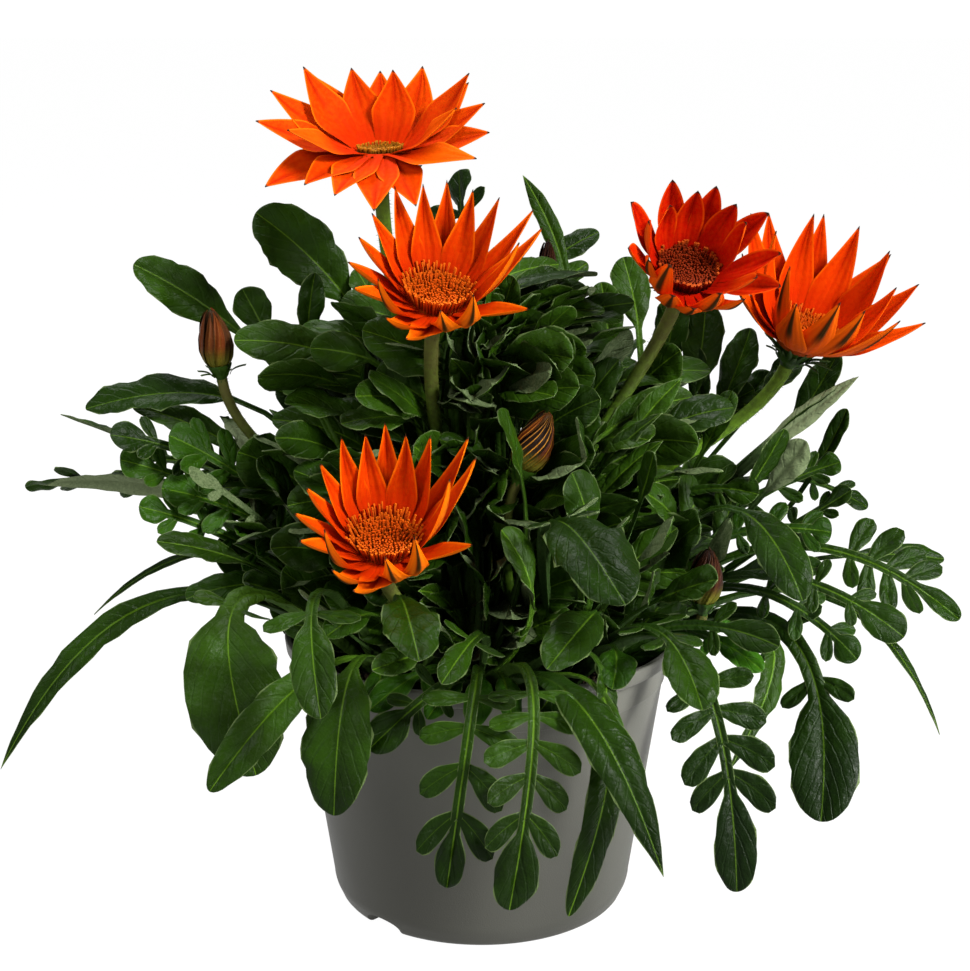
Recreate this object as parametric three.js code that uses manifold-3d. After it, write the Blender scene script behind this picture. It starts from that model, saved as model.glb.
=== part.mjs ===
// A gazania in its nursery pot: five daisy-like blooms and four buds on bare stalks
// over rosettes of strap, spoon and lobed leaves.  Millimetres, +Z up, the pot's
// base centred on the origin and the plant's front facing -Y.
import * as THREE from 'three';
import { mergeVertices } from 'three/addons/utils/BufferGeometryUtils.js';
import Module from 'manifold-3d';

const wasm = await Module();
wasm.setup();

// ---- driving dimensions ----------------------------------------------------
const POT_HEIGHT = 91.5;
const POT_RIM_RADIUS = 65;
const POT_RIM_DEPTH = 5;
const POT_NECK_RADIUS = 61.2;
const POT_HEEL_RADIUS = 50;
const POT_HEEL_HEIGHT = 8.7;
const POT_FOOT_RADIUS = 45.6;
const POT_FOOT_WIDTH = 4.4;
const POT_WALL = 1.6;
const POT_RIM_WALL = 2.2;
const POT_FLOOR = 5.6;
const POT_LINE_DROP = 8.8;
const POT_SIDES = 30;
const NOTCH_WIDTH = 15;
const NOTCH_HEIGHT = 5;
const NOTCH_AZIMUTHS = [228, 348, 108];
const DRAIN_RADIUS = 4;
const DRAIN_RING = 29;
const DRAIN_COUNT = 4;

const GAP = 0.3;
const SOIL_LEVEL = 80;
const HOLE_DEPTH = 14;
const CROWN_RADIUS = 6.4;
const CROWN_TOP = 87.4;
const CROWN_ROOTS = 5;
const CROWN_SIDES = 8;
const STALK_SIDES = 6;
const STALK_UPRIGHT = 7;
const SOIL_SIDES = 20;
const STALK_STEPS = 7;
const STALK_RADIUS = 2.3;
const BUD_STALK_RADIUS = 1.7;

const LEAF_THICKNESS = 1.3;
const PETIOLE_THICKNESS = 2.4;
const LEAF_FOLD = 0.22;
const RAY_THICKNESS = 1.2;
const RAY_FOLD = 0.34;

const COLOURS = {
  pot: 0x8b8984,
  soil: 0x2a211b,
  leaf: 0x1f4a1c,
  stalk: 0x56702f,
  ray: 0xff5a0a,
  redRay: 0xe93408,
  disc: 0xb05a16,
  redDisc: 0x6d2412,
  bud: 0x8a3d18,
};

const rad = THREE.MathUtils.degToRad;
const UP = new THREE.Vector3(0, 0, 1);

// A small seeded generator, so that every draw comes out the same each time.
function seeded(seed) {
  let state = seed >>> 0;
  return () => {
    state = (state + 0x6d2b79f5) >>> 0;
    let mixed = Math.imul(state ^ (state >>> 15), state | 1);
    mixed ^= mixed + Math.imul(mixed ^ (mixed >>> 7), mixed | 61);
    return ((mixed ^ (mixed >>> 14)) >>> 0) / 4294967296;
  };
}

// ---- solids ----------------------------------------------------------------
function solid(geometry) {
  const bare = geometry.index ? geometry.clone() : geometry;
  bare.deleteAttribute('normal');
  bare.deleteAttribute('uv');
  const merged = mergeVertices(bare, 1e-4);
  const mesh = new wasm.Mesh({
    numProp: 3,
    vertProperties: new Float32Array(merged.attributes.position.array),
    triVerts: new Uint32Array(merged.index.array),
  });
  return new wasm.Manifold(mesh);
}

function joined(solids) {
  let round = solids;
  while (round.length > 1) {
    const next = [];
    for (let i = 0; i < round.length; i += 2) {
      next.push(i + 1 < round.length ? round[i].add(round[i + 1]) : round[i]);
    }
    round = next;
  }
  return round[0];
}

function geometryOf(manifold) {
  const mesh = manifold.getMesh();
  const geometry = new THREE.BufferGeometry();
  geometry.setAttribute('position', new THREE.BufferAttribute(mesh.vertProperties, 3));
  geometry.setIndex(new THREE.BufferAttribute(mesh.triVerts, 1));
  return geometry;
}

// Closes a stack of rings of `around` points each, with a point below and above.
function stacked(rings, around) {
  const triangles = [];
  const top = 1 + rings * around;
  for (let i = 0; i < around; i++) {
    const next = (i + 1) % around;
    triangles.push(0, 1 + next, 1 + i);
    for (let ring = 0; ring + 1 < rings; ring++) {
      const low = 1 + ring * around;
      const high = low + around;
      triangles.push(low + i, low + next, high + next, low + i, high + next, high + i);
    }
    triangles.push(top - around + i, top - around + next, top);
  }
  return triangles;
}

function indexed(points, triangles) {
  const geometry = new THREE.BufferGeometry();
  geometry.setAttribute('position', new THREE.Float32BufferAttribute(points, 3));
  geometry.setIndex(triangles);
  return geometry;
}

// A turned profile of [radius, height] points, stood up along +Z.
function turned(profile, sides) {
  const points = profile.map(([radius, height]) => new THREE.Vector2(radius, height));
  return new THREE.LatheGeometry(points, sides).rotateX(Math.PI / 2);
}

// ---- blades ----------------------------------------------------------------
// A blade is a stack of like rings of corners, closed at the root, that ends in a
// point.  The corners of a ring run clockwise as seen from the tip.
function blade(rings, tip) {
  const corners = rings[0].length;
  const points = rings.flat().flatMap(({ x, y, z }) => [x, y, z]);
  points.push(tip.x, tip.y, tip.z);
  const triangles = [];
  for (let corner = 2; corner < corners; corner++) {
    triangles.push(0, corner, corner - 1);
  }
  for (let corner = 0; corner < corners; corner++) {
    const next = (corner + 1) % corners;
    for (let ring = 0; ring + 1 < rings.length; ring++) {
      const near = ring * corners;
      const far = near + corners;
      triangles.push(near + corner, near + next, far + next);
      triangles.push(near + corner, far + next, far + corner);
    }
    const last = (rings.length - 1) * corners;
    triangles.push(last + corner, last + next, rings.length * corners);
  }
  return solid(indexed(points, triangles));
}

// The curve from a root through a shoulder to a tip, and where on it the shoulder is.
function spineThrough(root, shoulder, tip) {
  const near = root.distanceTo(shoulder);
  const far = shoulder.distanceTo(tip);
  const t = near / (near + far);
  const control = shoulder
    .clone()
    .addScaledVector(root, -((1 - t) ** 2))
    .addScaledVector(tip, -(t ** 2))
    .divideScalar(2 * t * (1 - t));
  return { curve: new THREE.QuadraticBezierCurve3(root, control, tip), bend: t };
}

// The blade's own axes at a place on the spine.  `level` is the sideways direction
// of an unrolled blade and `roll` turns the blade about its midrib.
function axesAt(curve, t, level, roll) {
  const along = curve.getTangent(t);
  const side = level.clone().addScaledVector(along, -level.dot(along)).normalize();
  const face = side.clone().cross(along);
  const rolledSide = side.clone().multiplyScalar(Math.cos(roll)).addScaledVector(face, -Math.sin(roll));
  const rolledFace = face.clone().multiplyScalar(Math.cos(roll)).addScaledVector(side, Math.sin(roll));
  return { centre: curve.getPoint(t), along, side: rolledSide, face: rolledFace };
}

// ---- leaves ----------------------------------------------------------------
const MIDRIB = 2.6;
const OUTLINES = {
  spoon: [[0.3, 0.72], [0.6, 1], [0.88, 0.62]],
  narrow: [[0.36, 0.9], [0.8, 0.84]],
  strap: [[0.3, 0.96], [0.72, 0.86]],
};

// A lobed leaf is laid out flat on one side of its midrib, as [along, across] points
// from the root: petiole, spoon-shaped lobes, then the blade beyond them.  `rung`
// marks the points that the midrib's two edges share a rung at; a lobe's own points
// stand between two rungs.
const PETIOLE_RUNGS = [0, 0.36, 0.7];
const LOBE = [[0.6, -0.28], [1, 0.03], [0.68, 0.31]];
const LOBE_BASE = 0.26;
const LOBE_SPREAD = { first: 80, last: 56 };
const BLADE = [[0.28, 0.72], [0.62, 1], [0.88, 0.66]];

function lobedHalf(length, bend, width, [pairs, first, last, lobeLength]) {
  const shoulder = length * bend;
  const place = (share) => shoulder + (length - shoulder) * share;
  const rib = Math.max(MIDRIB, width * 0.2) / 2;
  const half = [];
  const rung = (along, across) => half.push({ along, across, rung: true });
  const lobeStart = place(first);
  for (const share of PETIOLE_RUNGS) {
    rung(lobeStart * share, share > 0.5 ? rib : MIDRIB / 2);
  }
  for (let pair = 0; pair < pairs; pair++) {
    const share = pairs > 1 ? pair / (pairs - 1) : 0.5;
    const size = lobeLength * (0.78 + 0.22 * Math.sin(Math.PI * (0.25 + 0.6 * share)));
    const spread = rad(LOBE_SPREAD.first + (LOBE_SPREAD.last - LOBE_SPREAD.first) * share);
    const start = place(first + (last - first) * share);
    rung(start, rib);
    for (const [out, over] of LOBE) {
      const along = start + size * (out * Math.cos(spread) + over * Math.sin(spread));
      const across = size * (out * Math.sin(spread) - over * Math.cos(spread));
      half.push({ along, across: rib + across, rung: false });
    }
    rung(start + LOBE_BASE * size, rib);
  }
  const open = Math.min(half[half.length - 1].along + 1, place(0.84));
  for (const [share, widthShare] of BLADE) {
    rung(open + (length - open) * share, (width * widthShare) / 2);
  }
  return half;
}

// Triangles over the flat leaf: a ladder up the midrib and a fan in each lobe.
function leafFaces(half) {
  const last = 2 * half.length;
  const faces = [];
  const rungs = half.flatMap(({ rung }, index) => (rung ? [index] : []));
  for (let i = 0; i + 1 < rungs.length; i++) {
    const near = rungs[i];
    const far = rungs[i + 1];
    faces.push([near, far, last - far], [near, last - far, last - near]);
    for (let point = near + 1; point + 1 < far; point++) {
      faces.push([near, point, point + 1], [last - near, last - point - 1, last - point]);
    }
    if (far > near + 1) {
      faces.push([near, far - 1, far], [last - near, last - far, last - far + 1]);
    }
  }
  faces.push([half.length - 1, half.length, half.length + 1]);
  return faces;
}

// A thin sheet cut to a flat leaf and bent along its spine.
function sheet(half, length, bentTo) {
  const flat = [
    ...half.map(({ along, across }) => [along, -across]),
    [length, 0],
    ...half.map(({ along, across }) => [along, across]).reverse(),
  ];
  const points = [];
  for (const up of [1, -1]) {
    for (const [along, across] of flat) {
      const corner = bentTo(along, across, (up * LEAF_THICKNESS) / 2);
      points.push(corner.x, corner.y, corner.z);
    }
  }
  const count = flat.length;
  const triangles = [];
  for (const [a, b, c] of leafFaces(half)) {
    triangles.push(a, c, b, a + count, b + count, c + count);
  }
  for (let i = 0; i < count; i++) {
    const next = (i + 1) % count;
    triangles.push(i, next, i + count, next, next + count, i + count);
  }
  return solid(indexed(points, triangles));
}

// A whole leaf.  The petiole runs from the root to the shoulder, where the blade
// opens; `turn` rolls the blade towards the front of the plant.
function leaf(root, [kind, shoulder, tip, width, turn, lobes]) {
  const end = new THREE.Vector3(...tip);
  const { curve, bend } = spineThrough(root, new THREE.Vector3(...shoulder), end);
  const level = new THREE.Vector3(end.x - root.x, end.y - root.y, 0).normalize().cross(UP);
  const hand = level.y > 0 ? -1 : 1;
  const rollAt = (t) => hand * rad(turn) * Math.min(1, t / bend);
  if (kind === 'lobed') {
    const length = curve.getLength();
    return sheet(lobedHalf(length, bend, width, lobes), length, (along, across, up) => {
      const t = Math.min(1, along / length);
      const { centre, side, face } = axesAt(curve, t, level, rollAt(t));
      const lift = up + LEAF_FOLD * 0.6 * Math.abs(across);
      return centre.addScaledVector(side, across).addScaledVector(face, lift);
    });
  }
  const place = (share) => bend + (1 - bend) * share;
  const petiole = Math.max(MIDRIB, width * 0.2);
  const ring = (t, ringWidth, thickness) => {
    const { centre, side, face } = axesAt(curve, t, level, rollAt(t));
    return [
      centre.clone().addScaledVector(side, -ringWidth / 2),
      centre.clone().addScaledVector(face, thickness),
      centre.clone().addScaledVector(side, ringWidth / 2),
    ];
  };
  const rings = [
    ring(0, MIDRIB, PETIOLE_THICKNESS),
    ring(bend * 0.55, petiole, (PETIOLE_THICKNESS + LEAF_THICKNESS) / 2),
    ring(bend, kind === 'strap' ? width * 0.6 : petiole, LEAF_THICKNESS),
  ];
  const outline = kind === 'spoon' && width < 12 ? OUTLINES.narrow : OUTLINES[kind];
  for (const [share, widthShare] of outline) {
    rings.push(ring(place(share), width * widthShare, LEAF_THICKNESS));
  }
  return blade(rings, end);
}

// ---- blooms and buds -------------------------------------------------------
// The head's own frame: `axis` looks out of the flower, `front` is the part of its
// plane that leans towards the front of the plant.
function headFrame(centre, axis) {
  const up = new THREE.Vector3(...axis).normalize();
  const front = new THREE.Vector3(0, -1, 0);
  front.addScaledVector(up, -front.dot(up)).normalize();
  const across = up.clone().cross(front);
  const origin = new THREE.Vector3(...centre);
  const out = (angle) =>
    front.clone().multiplyScalar(Math.cos(angle)).addScaledVector(across, Math.sin(angle));
  const at = (angle, radius, height) =>
    origin.clone().addScaledVector(out(angle), radius).addScaledVector(up, height);
  const place = new THREE.Matrix4().makeBasis(front, across, up).setPosition(origin);
  return { up, out, at, place };
}

// Heights are counted from the plane of the disc.
const RECEPTACLE = 9.4;
const COLLAR_HOLE = 6.2;
const COLLAR_TOP = -0.5;
const COLLAR_BASE = -2.6;
const RAY_ROOT = -1.5;
const RAY_CREST = -0.9;
const RAY_TWIST = 0.2;
// Places along a ray where it is measured; its `shape` is the share of full width there.
const RAY_PLACES = [0.36, 0.68];

// All rays of a bloom and the collar they stand on, as one closed skin.  Each ray
// starts from two corners of the collar, which it shares with its neighbours, and
// from a point above and one below its midrib.  `spread` opens the whole bloom.
function raysOf({ centre, axis, rays, size, width, shape, spread }) {
  const head = headFrame(centre, axis);
  const points = [];
  const triangles = [];
  const add = (point) => points.push(point.x, point.y, point.z) / 3 - 1;
  const step = (2 * Math.PI) / rays.length;
  const corners = [];
  for (let i = 0; i < rays.length; i++) {
    const angle = (i - 0.5) * step;
    corners.push({
      outer: add(head.at(angle, RECEPTACLE, RAY_ROOT)),
      above: add(head.at(angle, COLLAR_HOLE, COLLAR_TOP)),
      below: add(head.at(angle, COLLAR_HOLE, COLLAR_BASE)),
    });
  }
  for (let i = 0; i < rays.length; i++) {
    const [turn, lift, length] = rays[i];
    const angle = i * step;
    const rise = rad(lift - spread);
    const reach = length * size;
    const base = head.at(angle, RECEPTACLE, RAY_ROOT);
    const tip = head.at(rad(turn), RECEPTACLE + reach * Math.cos(rise), RAY_ROOT + reach * Math.sin(rise));
    const heading = (angle + rad(turn)) / 2;
    const bow = base
      .clone()
      .addScaledVector(head.out(heading), 0.5 * reach * Math.cos(rise * 0.65))
      .addScaledVector(head.up, 0.5 * reach * Math.sin(rise * 0.65));
    const curve = new THREE.QuadraticBezierCurve3(base, bow, tip);
    const level = head.out(heading).cross(head.up);
    const twist = RAY_TWIST * Math.sin(5 * i);
    const next = corners[(i + 1) % rays.length];
    const own = corners[i];
    const crest = head.at(angle, RECEPTACLE + 0.4, RAY_CREST);
    const keel = head.at(angle, RECEPTACLE, COLLAR_BASE);
    const [left, top, right, under] = [0, 1, 2, 3];
    const sides = [[left, top], [top, right], [right, under], [under, left]];
    let ring = [next.outer, add(crest), own.outer, add(keel)];
    triangles.push(own.above, own.outer, ring[top], own.above, ring[top], next.above);
    triangles.push(next.above, ring[top], next.outer);
    triangles.push(own.below, ring[under], own.outer, own.below, next.below, ring[under]);
    triangles.push(next.below, next.outer, ring[under]);
    triangles.push(own.above, next.above, next.below, own.above, next.below, own.below);
    for (const [place, t] of RAY_PLACES.entries()) {
      const { centre: middle, side, face } = axesAt(curve, t, level, twist * t);
      const across = (width * shape[place]) / 2;
      const raised = RAY_FOLD * across;
      const half = RAY_THICKNESS / 2;
      const far = [
        middle.clone().addScaledVector(side, -across).addScaledVector(face, raised),
        middle.clone().addScaledVector(face, half),
        middle.clone().addScaledVector(side, across).addScaledVector(face, raised),
        middle.clone().addScaledVector(face, -half),
      ].map(add);
      for (const [a, c] of sides) {
        triangles.push(ring[a], ring[c], far[c], ring[a], far[c], far[a]);
      }
      ring = far;
    }
    const point = add(tip);
    for (const [a, c] of sides) {
      triangles.push(ring[a], ring[c], point);
    }
  }
  return solid(indexed(points, triangles));
}

// The packed disc florets, raised from a low dome by a formula.  Each row is
// [radius, height, how far every other floret stands up].
const DISC_FLOOR = -0.1;
const DISC_TOP = 2.8;
const DISC_ROWS = [[7.2, DISC_FLOOR, 0], [8.4, 0.2, 1], [6.2, 2.3, 1.1], [3.2, 2.2, 1.1]];
const DISC_FLORETS = 16;

function discOf({ centre, axis }) {
  const head = headFrame(centre, axis);
  const points = [0, 0, DISC_FLOOR];
  DISC_ROWS.forEach(([radius, height, floret], row) => {
    for (let i = 0; i < DISC_FLORETS; i++) {
      const angle = (2 * Math.PI * (i + 0.5 * Math.max(0, row - 1))) / DISC_FLORETS;
      const raised = (i + row) % 2 ? floret : 0;
      points.push(radius * Math.cos(angle), radius * Math.sin(angle), height + raised);
    }
  });
  points.push(0, 0, DISC_TOP);
  const skin = indexed(points, stacked(DISC_ROWS.length, DISC_FLORETS));
  return solid(skin.applyMatrix4(head.place));
}

// The bare stalk: upright in its hole in the soil, then one easy curve to the head.
function stalkTube(foot, base, axis, radius) {
  const standing = (z) => new THREE.Vector3(foot[0], foot[1], z);
  const collar = standing(SOIL_LEVEL + STALK_UPRIGHT);
  const reach = base.distanceTo(collar) * 0.4;
  const rise = new THREE.CubicBezierCurve3(
    collar,
    collar.clone().addScaledVector(UP, reach),
    base.clone().addScaledVector(axis, -reach * 0.8),
    base,
  );
  const path = new THREE.CatmullRomCurve3([
    standing(SOIL_LEVEL - HOLE_DEPTH),
    standing(SOIL_LEVEL - HOLE_DEPTH / 3),
    ...[0, 0.25, 0.5, 0.75, 1].map((t) => rise.getPoint(t)),
  ]);
  const middle = new THREE.Vector2();
  const corners = [];
  for (let i = 0; i < STALK_SIDES; i++) {
    const angle = (2 * Math.PI * i) / STALK_SIDES;
    corners.push(new THREE.Vector2(radius, 0).rotateAround(middle, angle));
  }
  const section = new THREE.Shape(corners);
  return solid(
    new THREE.ExtrudeGeometry(section, { extrudePath: path, steps: STALK_STEPS, bevelEnabled: false }),
  );
}

// The green cup under a head, its rim drawn out into a star of pointed bracts.
// Each ring of `profile` is [valley radius, point radius, height].
function involucre(head, profile, around) {
  const points = [0, 0, profile[0][2]];
  for (const [valley, peak, height] of profile) {
    for (let i = 0; i < around; i++) {
      const angle = (2 * Math.PI * i) / around;
      const radius = i % 2 ? valley : peak;
      points.push(radius * Math.cos(angle), radius * Math.sin(angle), height);
    }
  }
  points.push(0, 0, profile[profile.length - 1][2]);
  return solid(indexed(points, stacked(profile.length, around)).applyMatrix4(head.place));
}

function stalkOf({ centre, axis, foot }) {
  const head = headFrame(centre, axis);
  const rim = RECEPTACLE - 0.6;
  const cup = involucre(
    head,
    [
      [STALK_RADIUS, STALK_RADIUS, -14.5],
      [5.4, 5.4, -10],
      [7.2, 8.4, -7],
      [8, 13.4, -5.9],
      [rim, rim, COLLAR_BASE - GAP],
    ],
    12,
  );
  const tube = stalkTube(foot, head.at(0, 0, -12), head.up, STALK_RADIUS);
  return tube.add(cup);
}

// A furled bud: the rays wound into a pointed, fluted spindle.  Each ring is
// [share of the radius, share of the height].
const BUD_RINGS = [[0.7, 0], [0.98, 0.24], [0.94, 0.5], [0.6, 0.78]];
const BUD_CORNERS = 12;
const BUD_FLUTE = 0.11;

function furledOf({ centre, axis, size, twist }) {
  const head = headFrame(centre, axis);
  const [radius, height] = size;
  const points = [0, 0, 0];
  for (const [share, level] of BUD_RINGS) {
    for (let i = 0; i < BUD_CORNERS; i++) {
      const angle = (2 * Math.PI * i) / BUD_CORNERS + twist * level;
      const flute = 1 + (i % 2 ? BUD_FLUTE : -BUD_FLUTE);
      const out = radius * share * flute;
      points.push(out * Math.cos(angle), out * Math.sin(angle), height * level);
    }
  }
  points.push(0, 0, height);
  const skin = indexed(points, stacked(BUD_RINGS.length, BUD_CORNERS));
  return solid(skin.applyMatrix4(head.place));
}

function budStalkOf({ centre, axis, size, foot }) {
  const head = headFrame(centre, axis);
  const [radius, height] = size;
  const cup = involucre(
    head,
    [
      [BUD_STALK_RADIUS, BUD_STALK_RADIUS, -height * 0.4],
      [radius * 0.8, radius * 0.85, -height * 0.2],
      [radius * 0.86, radius * 1.4, -height * 0.04],
      [radius * 0.76, radius * 0.76, -GAP],
    ],
    10,
  );
  const tube = stalkTube(foot, head.at(0, 0, -height * 0.3), head.up, BUD_STALK_RADIUS);
  return tube.add(cup);
}

// Where no leaf is placed by hand the plant repeats its habit: tiers of leaves spread
// evenly over an arc, with a little seeded scatter.  `shoulder` and `tip` are
// [distance from the middle, height].
const TIERS = [
  { arc: [36, 146], count: 4, kinds: ['lobed', 'strap'], shoulder: [72, 104], tip: [94, 52], width: 12 },
  { arc: [30, 148], count: 5, kinds: ['lobed', 'spoon'], shoulder: [78, 128], tip: [112, 117], width: 12 },
  { arc: [36, 146], count: 5, kinds: ['spoon', 'lobed'], shoulder: [56, 156], tip: [84, 172], width: 13 },
  { arc: [62, 150], count: 3, kinds: ['spoon'], shoulder: [40, 178], tip: [58, 204], width: 14 },
  { arc: [30, 150], count: 6, kinds: ['spoon'], shoulder: [46, 116], tip: [64, 134], width: 14 },
  { arc: [34, 146], count: 5, kinds: ['spoon'], shoulder: [62, 100], tip: [90, 92], width: 15 },
];

function tierLeaves() {
  const random = seeded(41);
  const leaves = Object.fromEntries(Object.keys(CROWNS).map((name) => [name, []]));
  const outerCrowns = Object.entries(CROWNS).filter(([name]) => name !== 'centre');
  for (const { arc, count, kinds, shoulder, tip, width } of TIERS) {
    for (let i = 0; i < count; i++) {
      const angle = rad(arc[0] + ((arc[1] - arc[0]) * (i + 0.5)) / count + 6 * (random() - 0.5));
      const sway = rad(6 * (random() - 0.5));
      const reach = 0.94 + 0.1 * random();
      const rise = 0.95 + 0.1 * random();
      const at = (turned, radius, z) => [radius * Math.cos(turned), radius * Math.sin(turned), z];
      const kind = kinds[i % kinds.length];
      const nearest = outerCrowns.reduce((best, other) =>
        facing(other[1], angle) > facing(best[1], angle) ? other : best,
      );
      leaves[nearest[0]].push([
        kind,
        at(angle, shoulder[0], shoulder[1] * rise),
        at(angle + sway, tip[0] * reach, tip[1] * rise),
        kind === 'strap' ? width * 0.7 : width,
        12,
        kind === 'lobed' ? [2, 0.1, 0.5, 12] : undefined,
      ]);
    }
  }
  return leaves;
}

function facing([x, y], angle) {
  return (x * Math.cos(angle) + y * Math.sin(angle)) / Math.hypot(x, y);
}

const ROOT_LEVEL = SOIL_LEVEL + 1;

function rosette({ crown, leaves }) {
  const [x, y] = crown;
  const heart = solid(
    turned(
      [
        [0, SOIL_LEVEL - HOLE_DEPTH],
        [CROWN_RADIUS, SOIL_LEVEL - HOLE_DEPTH],
        [CROWN_RADIUS, SOIL_LEVEL + 2],
        [CROWN_RADIUS * 0.6, CROWN_TOP],
        [0, CROWN_TOP + 0.6],
      ],
      CROWN_SIDES,
    ).translate(x, y, 0),
  );
  const blades = leaves.map((row) => {
    const [towardX, towardY, towardZ] = row[1];
    const outward = new THREE.Vector3(towardX - x, towardY - y, towardZ - SOIL_LEVEL).normalize();
    const root = new THREE.Vector3(
      x + CROWN_ROOTS * outward.x,
      y + CROWN_ROOTS * outward.y,
      ROOT_LEVEL + CROWN_ROOTS * outward.z,
    );
    return leaf(root, row);
  });
  return joined([heart, ...blades]);
}

// ---- pot and soil ----------------------------------------------------------
const POT_NECK = POT_HEIGHT - POT_RIM_DEPTH;
const POT_SLOPE = (POT_NECK_RADIUS - POT_HEEL_RADIUS) / (POT_NECK - POT_HEEL_HEIGHT);

// The inside radius of the tapered wall at a height.
function insideRadius(z) {
  return POT_HEEL_RADIUS - POT_WALL + POT_SLOPE * (z - POT_HEEL_HEIGHT);
}

function potSolid() {
  const shell = solid(
    turned(
      [
        [0, POT_FLOOR],
        [POT_FOOT_RADIUS - POT_FOOT_WIDTH - 1, POT_FLOOR],
        [POT_FOOT_RADIUS - POT_FOOT_WIDTH, 0],
        [POT_FOOT_RADIUS, 0],
        [POT_FOOT_RADIUS + 2.6, 2.2],
        [POT_HEEL_RADIUS - 0.5, POT_HEEL_HEIGHT * 0.6],
        [POT_HEEL_RADIUS, POT_HEEL_HEIGHT],
        [POT_NECK_RADIUS - 1, POT_NECK - POT_LINE_DROP - 0.6],
        [POT_NECK_RADIUS - 0.4, POT_NECK - POT_LINE_DROP],
        [POT_NECK_RADIUS, POT_NECK],
        [POT_RIM_RADIUS - 0.7, POT_NECK],
        [POT_RIM_RADIUS, POT_HEIGHT],
        [POT_RIM_RADIUS - POT_RIM_WALL, POT_HEIGHT],
        [insideRadius(POT_NECK), POT_NECK],
        [insideRadius(POT_HEEL_HEIGHT), POT_HEEL_HEIGHT],
        [insideRadius(POT_HEEL_HEIGHT) - 3, POT_FLOOR + POT_WALL],
        [0, POT_FLOOR + POT_WALL],
      ],
      POT_SIDES,
    ),
  );
  const arch = new THREE.Shape();
  arch.moveTo(-NOTCH_WIDTH / 2, -1);
  arch.lineTo(NOTCH_WIDTH / 2, -1);
  arch.lineTo(NOTCH_WIDTH / 2, 1);
  arch.absarc(0, NOTCH_HEIGHT - NOTCH_WIDTH / 2 + 0.4, NOTCH_WIDTH / 2, rad(34), rad(146), false);
  arch.lineTo(-NOTCH_WIDTH / 2, 1);
  const notches = NOTCH_AZIMUTHS.map((azimuth) =>
    solid(
      new THREE.ExtrudeGeometry(arch, { depth: 14, bevelEnabled: false, curveSegments: 5 })
        .rotateX(Math.PI / 2)
        .rotateZ(Math.PI / 2)
        .translate(POT_FOOT_RADIUS - 8, 0, 0)
        .rotateZ(rad(azimuth)),
    ),
  );
  const drains = [];
  for (let i = 0; i < DRAIN_COUNT; i++) {
    const angle = (2 * Math.PI * (i + 0.5)) / DRAIN_COUNT;
    drains.push(
      solid(
        new THREE.CylinderGeometry(DRAIN_RADIUS, DRAIN_RADIUS, 6, 8)
          .rotateX(Math.PI / 2)
          .translate(DRAIN_RING * Math.cos(angle), DRAIN_RING * Math.sin(angle), POT_FLOOR),
      ),
    );
  }
  return shell.subtract(joined([...notches, ...drains]));
}

// A faceted ring's flats stand this much inside its corners.
const FLAT_ALLOWANCE = 0.2;

// Compost that fills the pot, with a plain hole for each [x, y, radius, sides] that
// stands in it.
function soilSolid(holes) {
  const fill = (z) => insideRadius(z) - GAP - FLAT_ALLOWANCE;
  const floor = POT_FLOOR + POT_WALL + GAP;
  const body = solid(
    turned(
      [
        [0, floor],
        [fill(POT_HEEL_HEIGHT) - 3.4, floor],
        [fill(POT_HEEL_HEIGHT + 2), POT_HEEL_HEIGHT + 2],
        [fill(SOIL_LEVEL - 1.5), SOIL_LEVEL - 1.5],
        [fill(SOIL_LEVEL) - 4, SOIL_LEVEL - 0.4],
        [0, SOIL_LEVEL],
      ],
      SOIL_SIDES,
    ),
  );
  const bores = holes.map(([x, y, radius, sides]) => {
    const corner = (radius + GAP) / Math.cos(Math.PI / sides);
    return solid(
      new THREE.CylinderGeometry(corner, corner, 2 * (HOLE_DEPTH + GAP), sides)
        .rotateX(Math.PI / 2)
        .translate(x, y, SOIL_LEVEL),
    );
  });
  return body.subtract(joined(bores));
}

// ---- where everything grows ------------------------------------------------
// Rays of a head, in order round it from the front, as [turn, lift, length]: degrees
// round to the tip, degrees that the ray stands up, and its length.
const WIDE_OPEN = [
  [-1, -25, 28], [22, -28, 25], [54, 2, 28], [57, 38, 25], [70, 15, 28],
  [84, 32, 28], [100, 50, 30], [122, 38, 30], [147, 57, 28], [164, 76, 24],
  [181, 50, 28], [207, 66, 26], [229, 46, 31], [248, 58, 30], [263, 38, 31],
  [283, 22, 31], [296, -14, 30], [304, 24, 25], [320, -12, 25], [338, -18, 25],
];
const HALF_OPEN = [
  [-12, 29, 28], [3, 50, 28], [22, 59, 30], [52, 42, 31], [82, 73, 31], [108, 59, 34],
  [128, 55, 35], [139, 74, 33], [159, 82, 33], [184, 71, 33], [208, 82, 33], [234, 78, 34],
  [260, 71, 30], [282, 63, 29], [296, 51, 29], [312, 43, 29], [323, 56, 30], [336, 38, 29],
];
const CUPPED = [
  [1, 37, 25], [16, 49, 26], [32, 43, 26], [46, 54, 26], [62, 38, 26], [80, 52, 26], [102, 80, 24],
  [118, 58, 26], [136, 78, 24], [168, 78, 26], [190, 82, 24], [216, 71, 26], [240, 84, 22],
  [258, 58, 25], [280, 72, 23], [299, 50, 23], [318, 56, 23], [335, 62, 23], [347, 42, 26],
];
const FLARED = [
  [0, 58, 36], [18, 58, 35], [38, 52, 38], [60, 48, 38], [76, 70, 33], [92, 60, 37],
  [113, 78, 38], [130, 64, 36], [160, 80, 39], [194, 70, 38], [220, 80, 39], [242, 62, 38],
  [256, 57, 40], [270, 70, 36], [284, 50, 34], [300, 38, 33], [315, 66, 34], [337, 49, 34],
];

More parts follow.
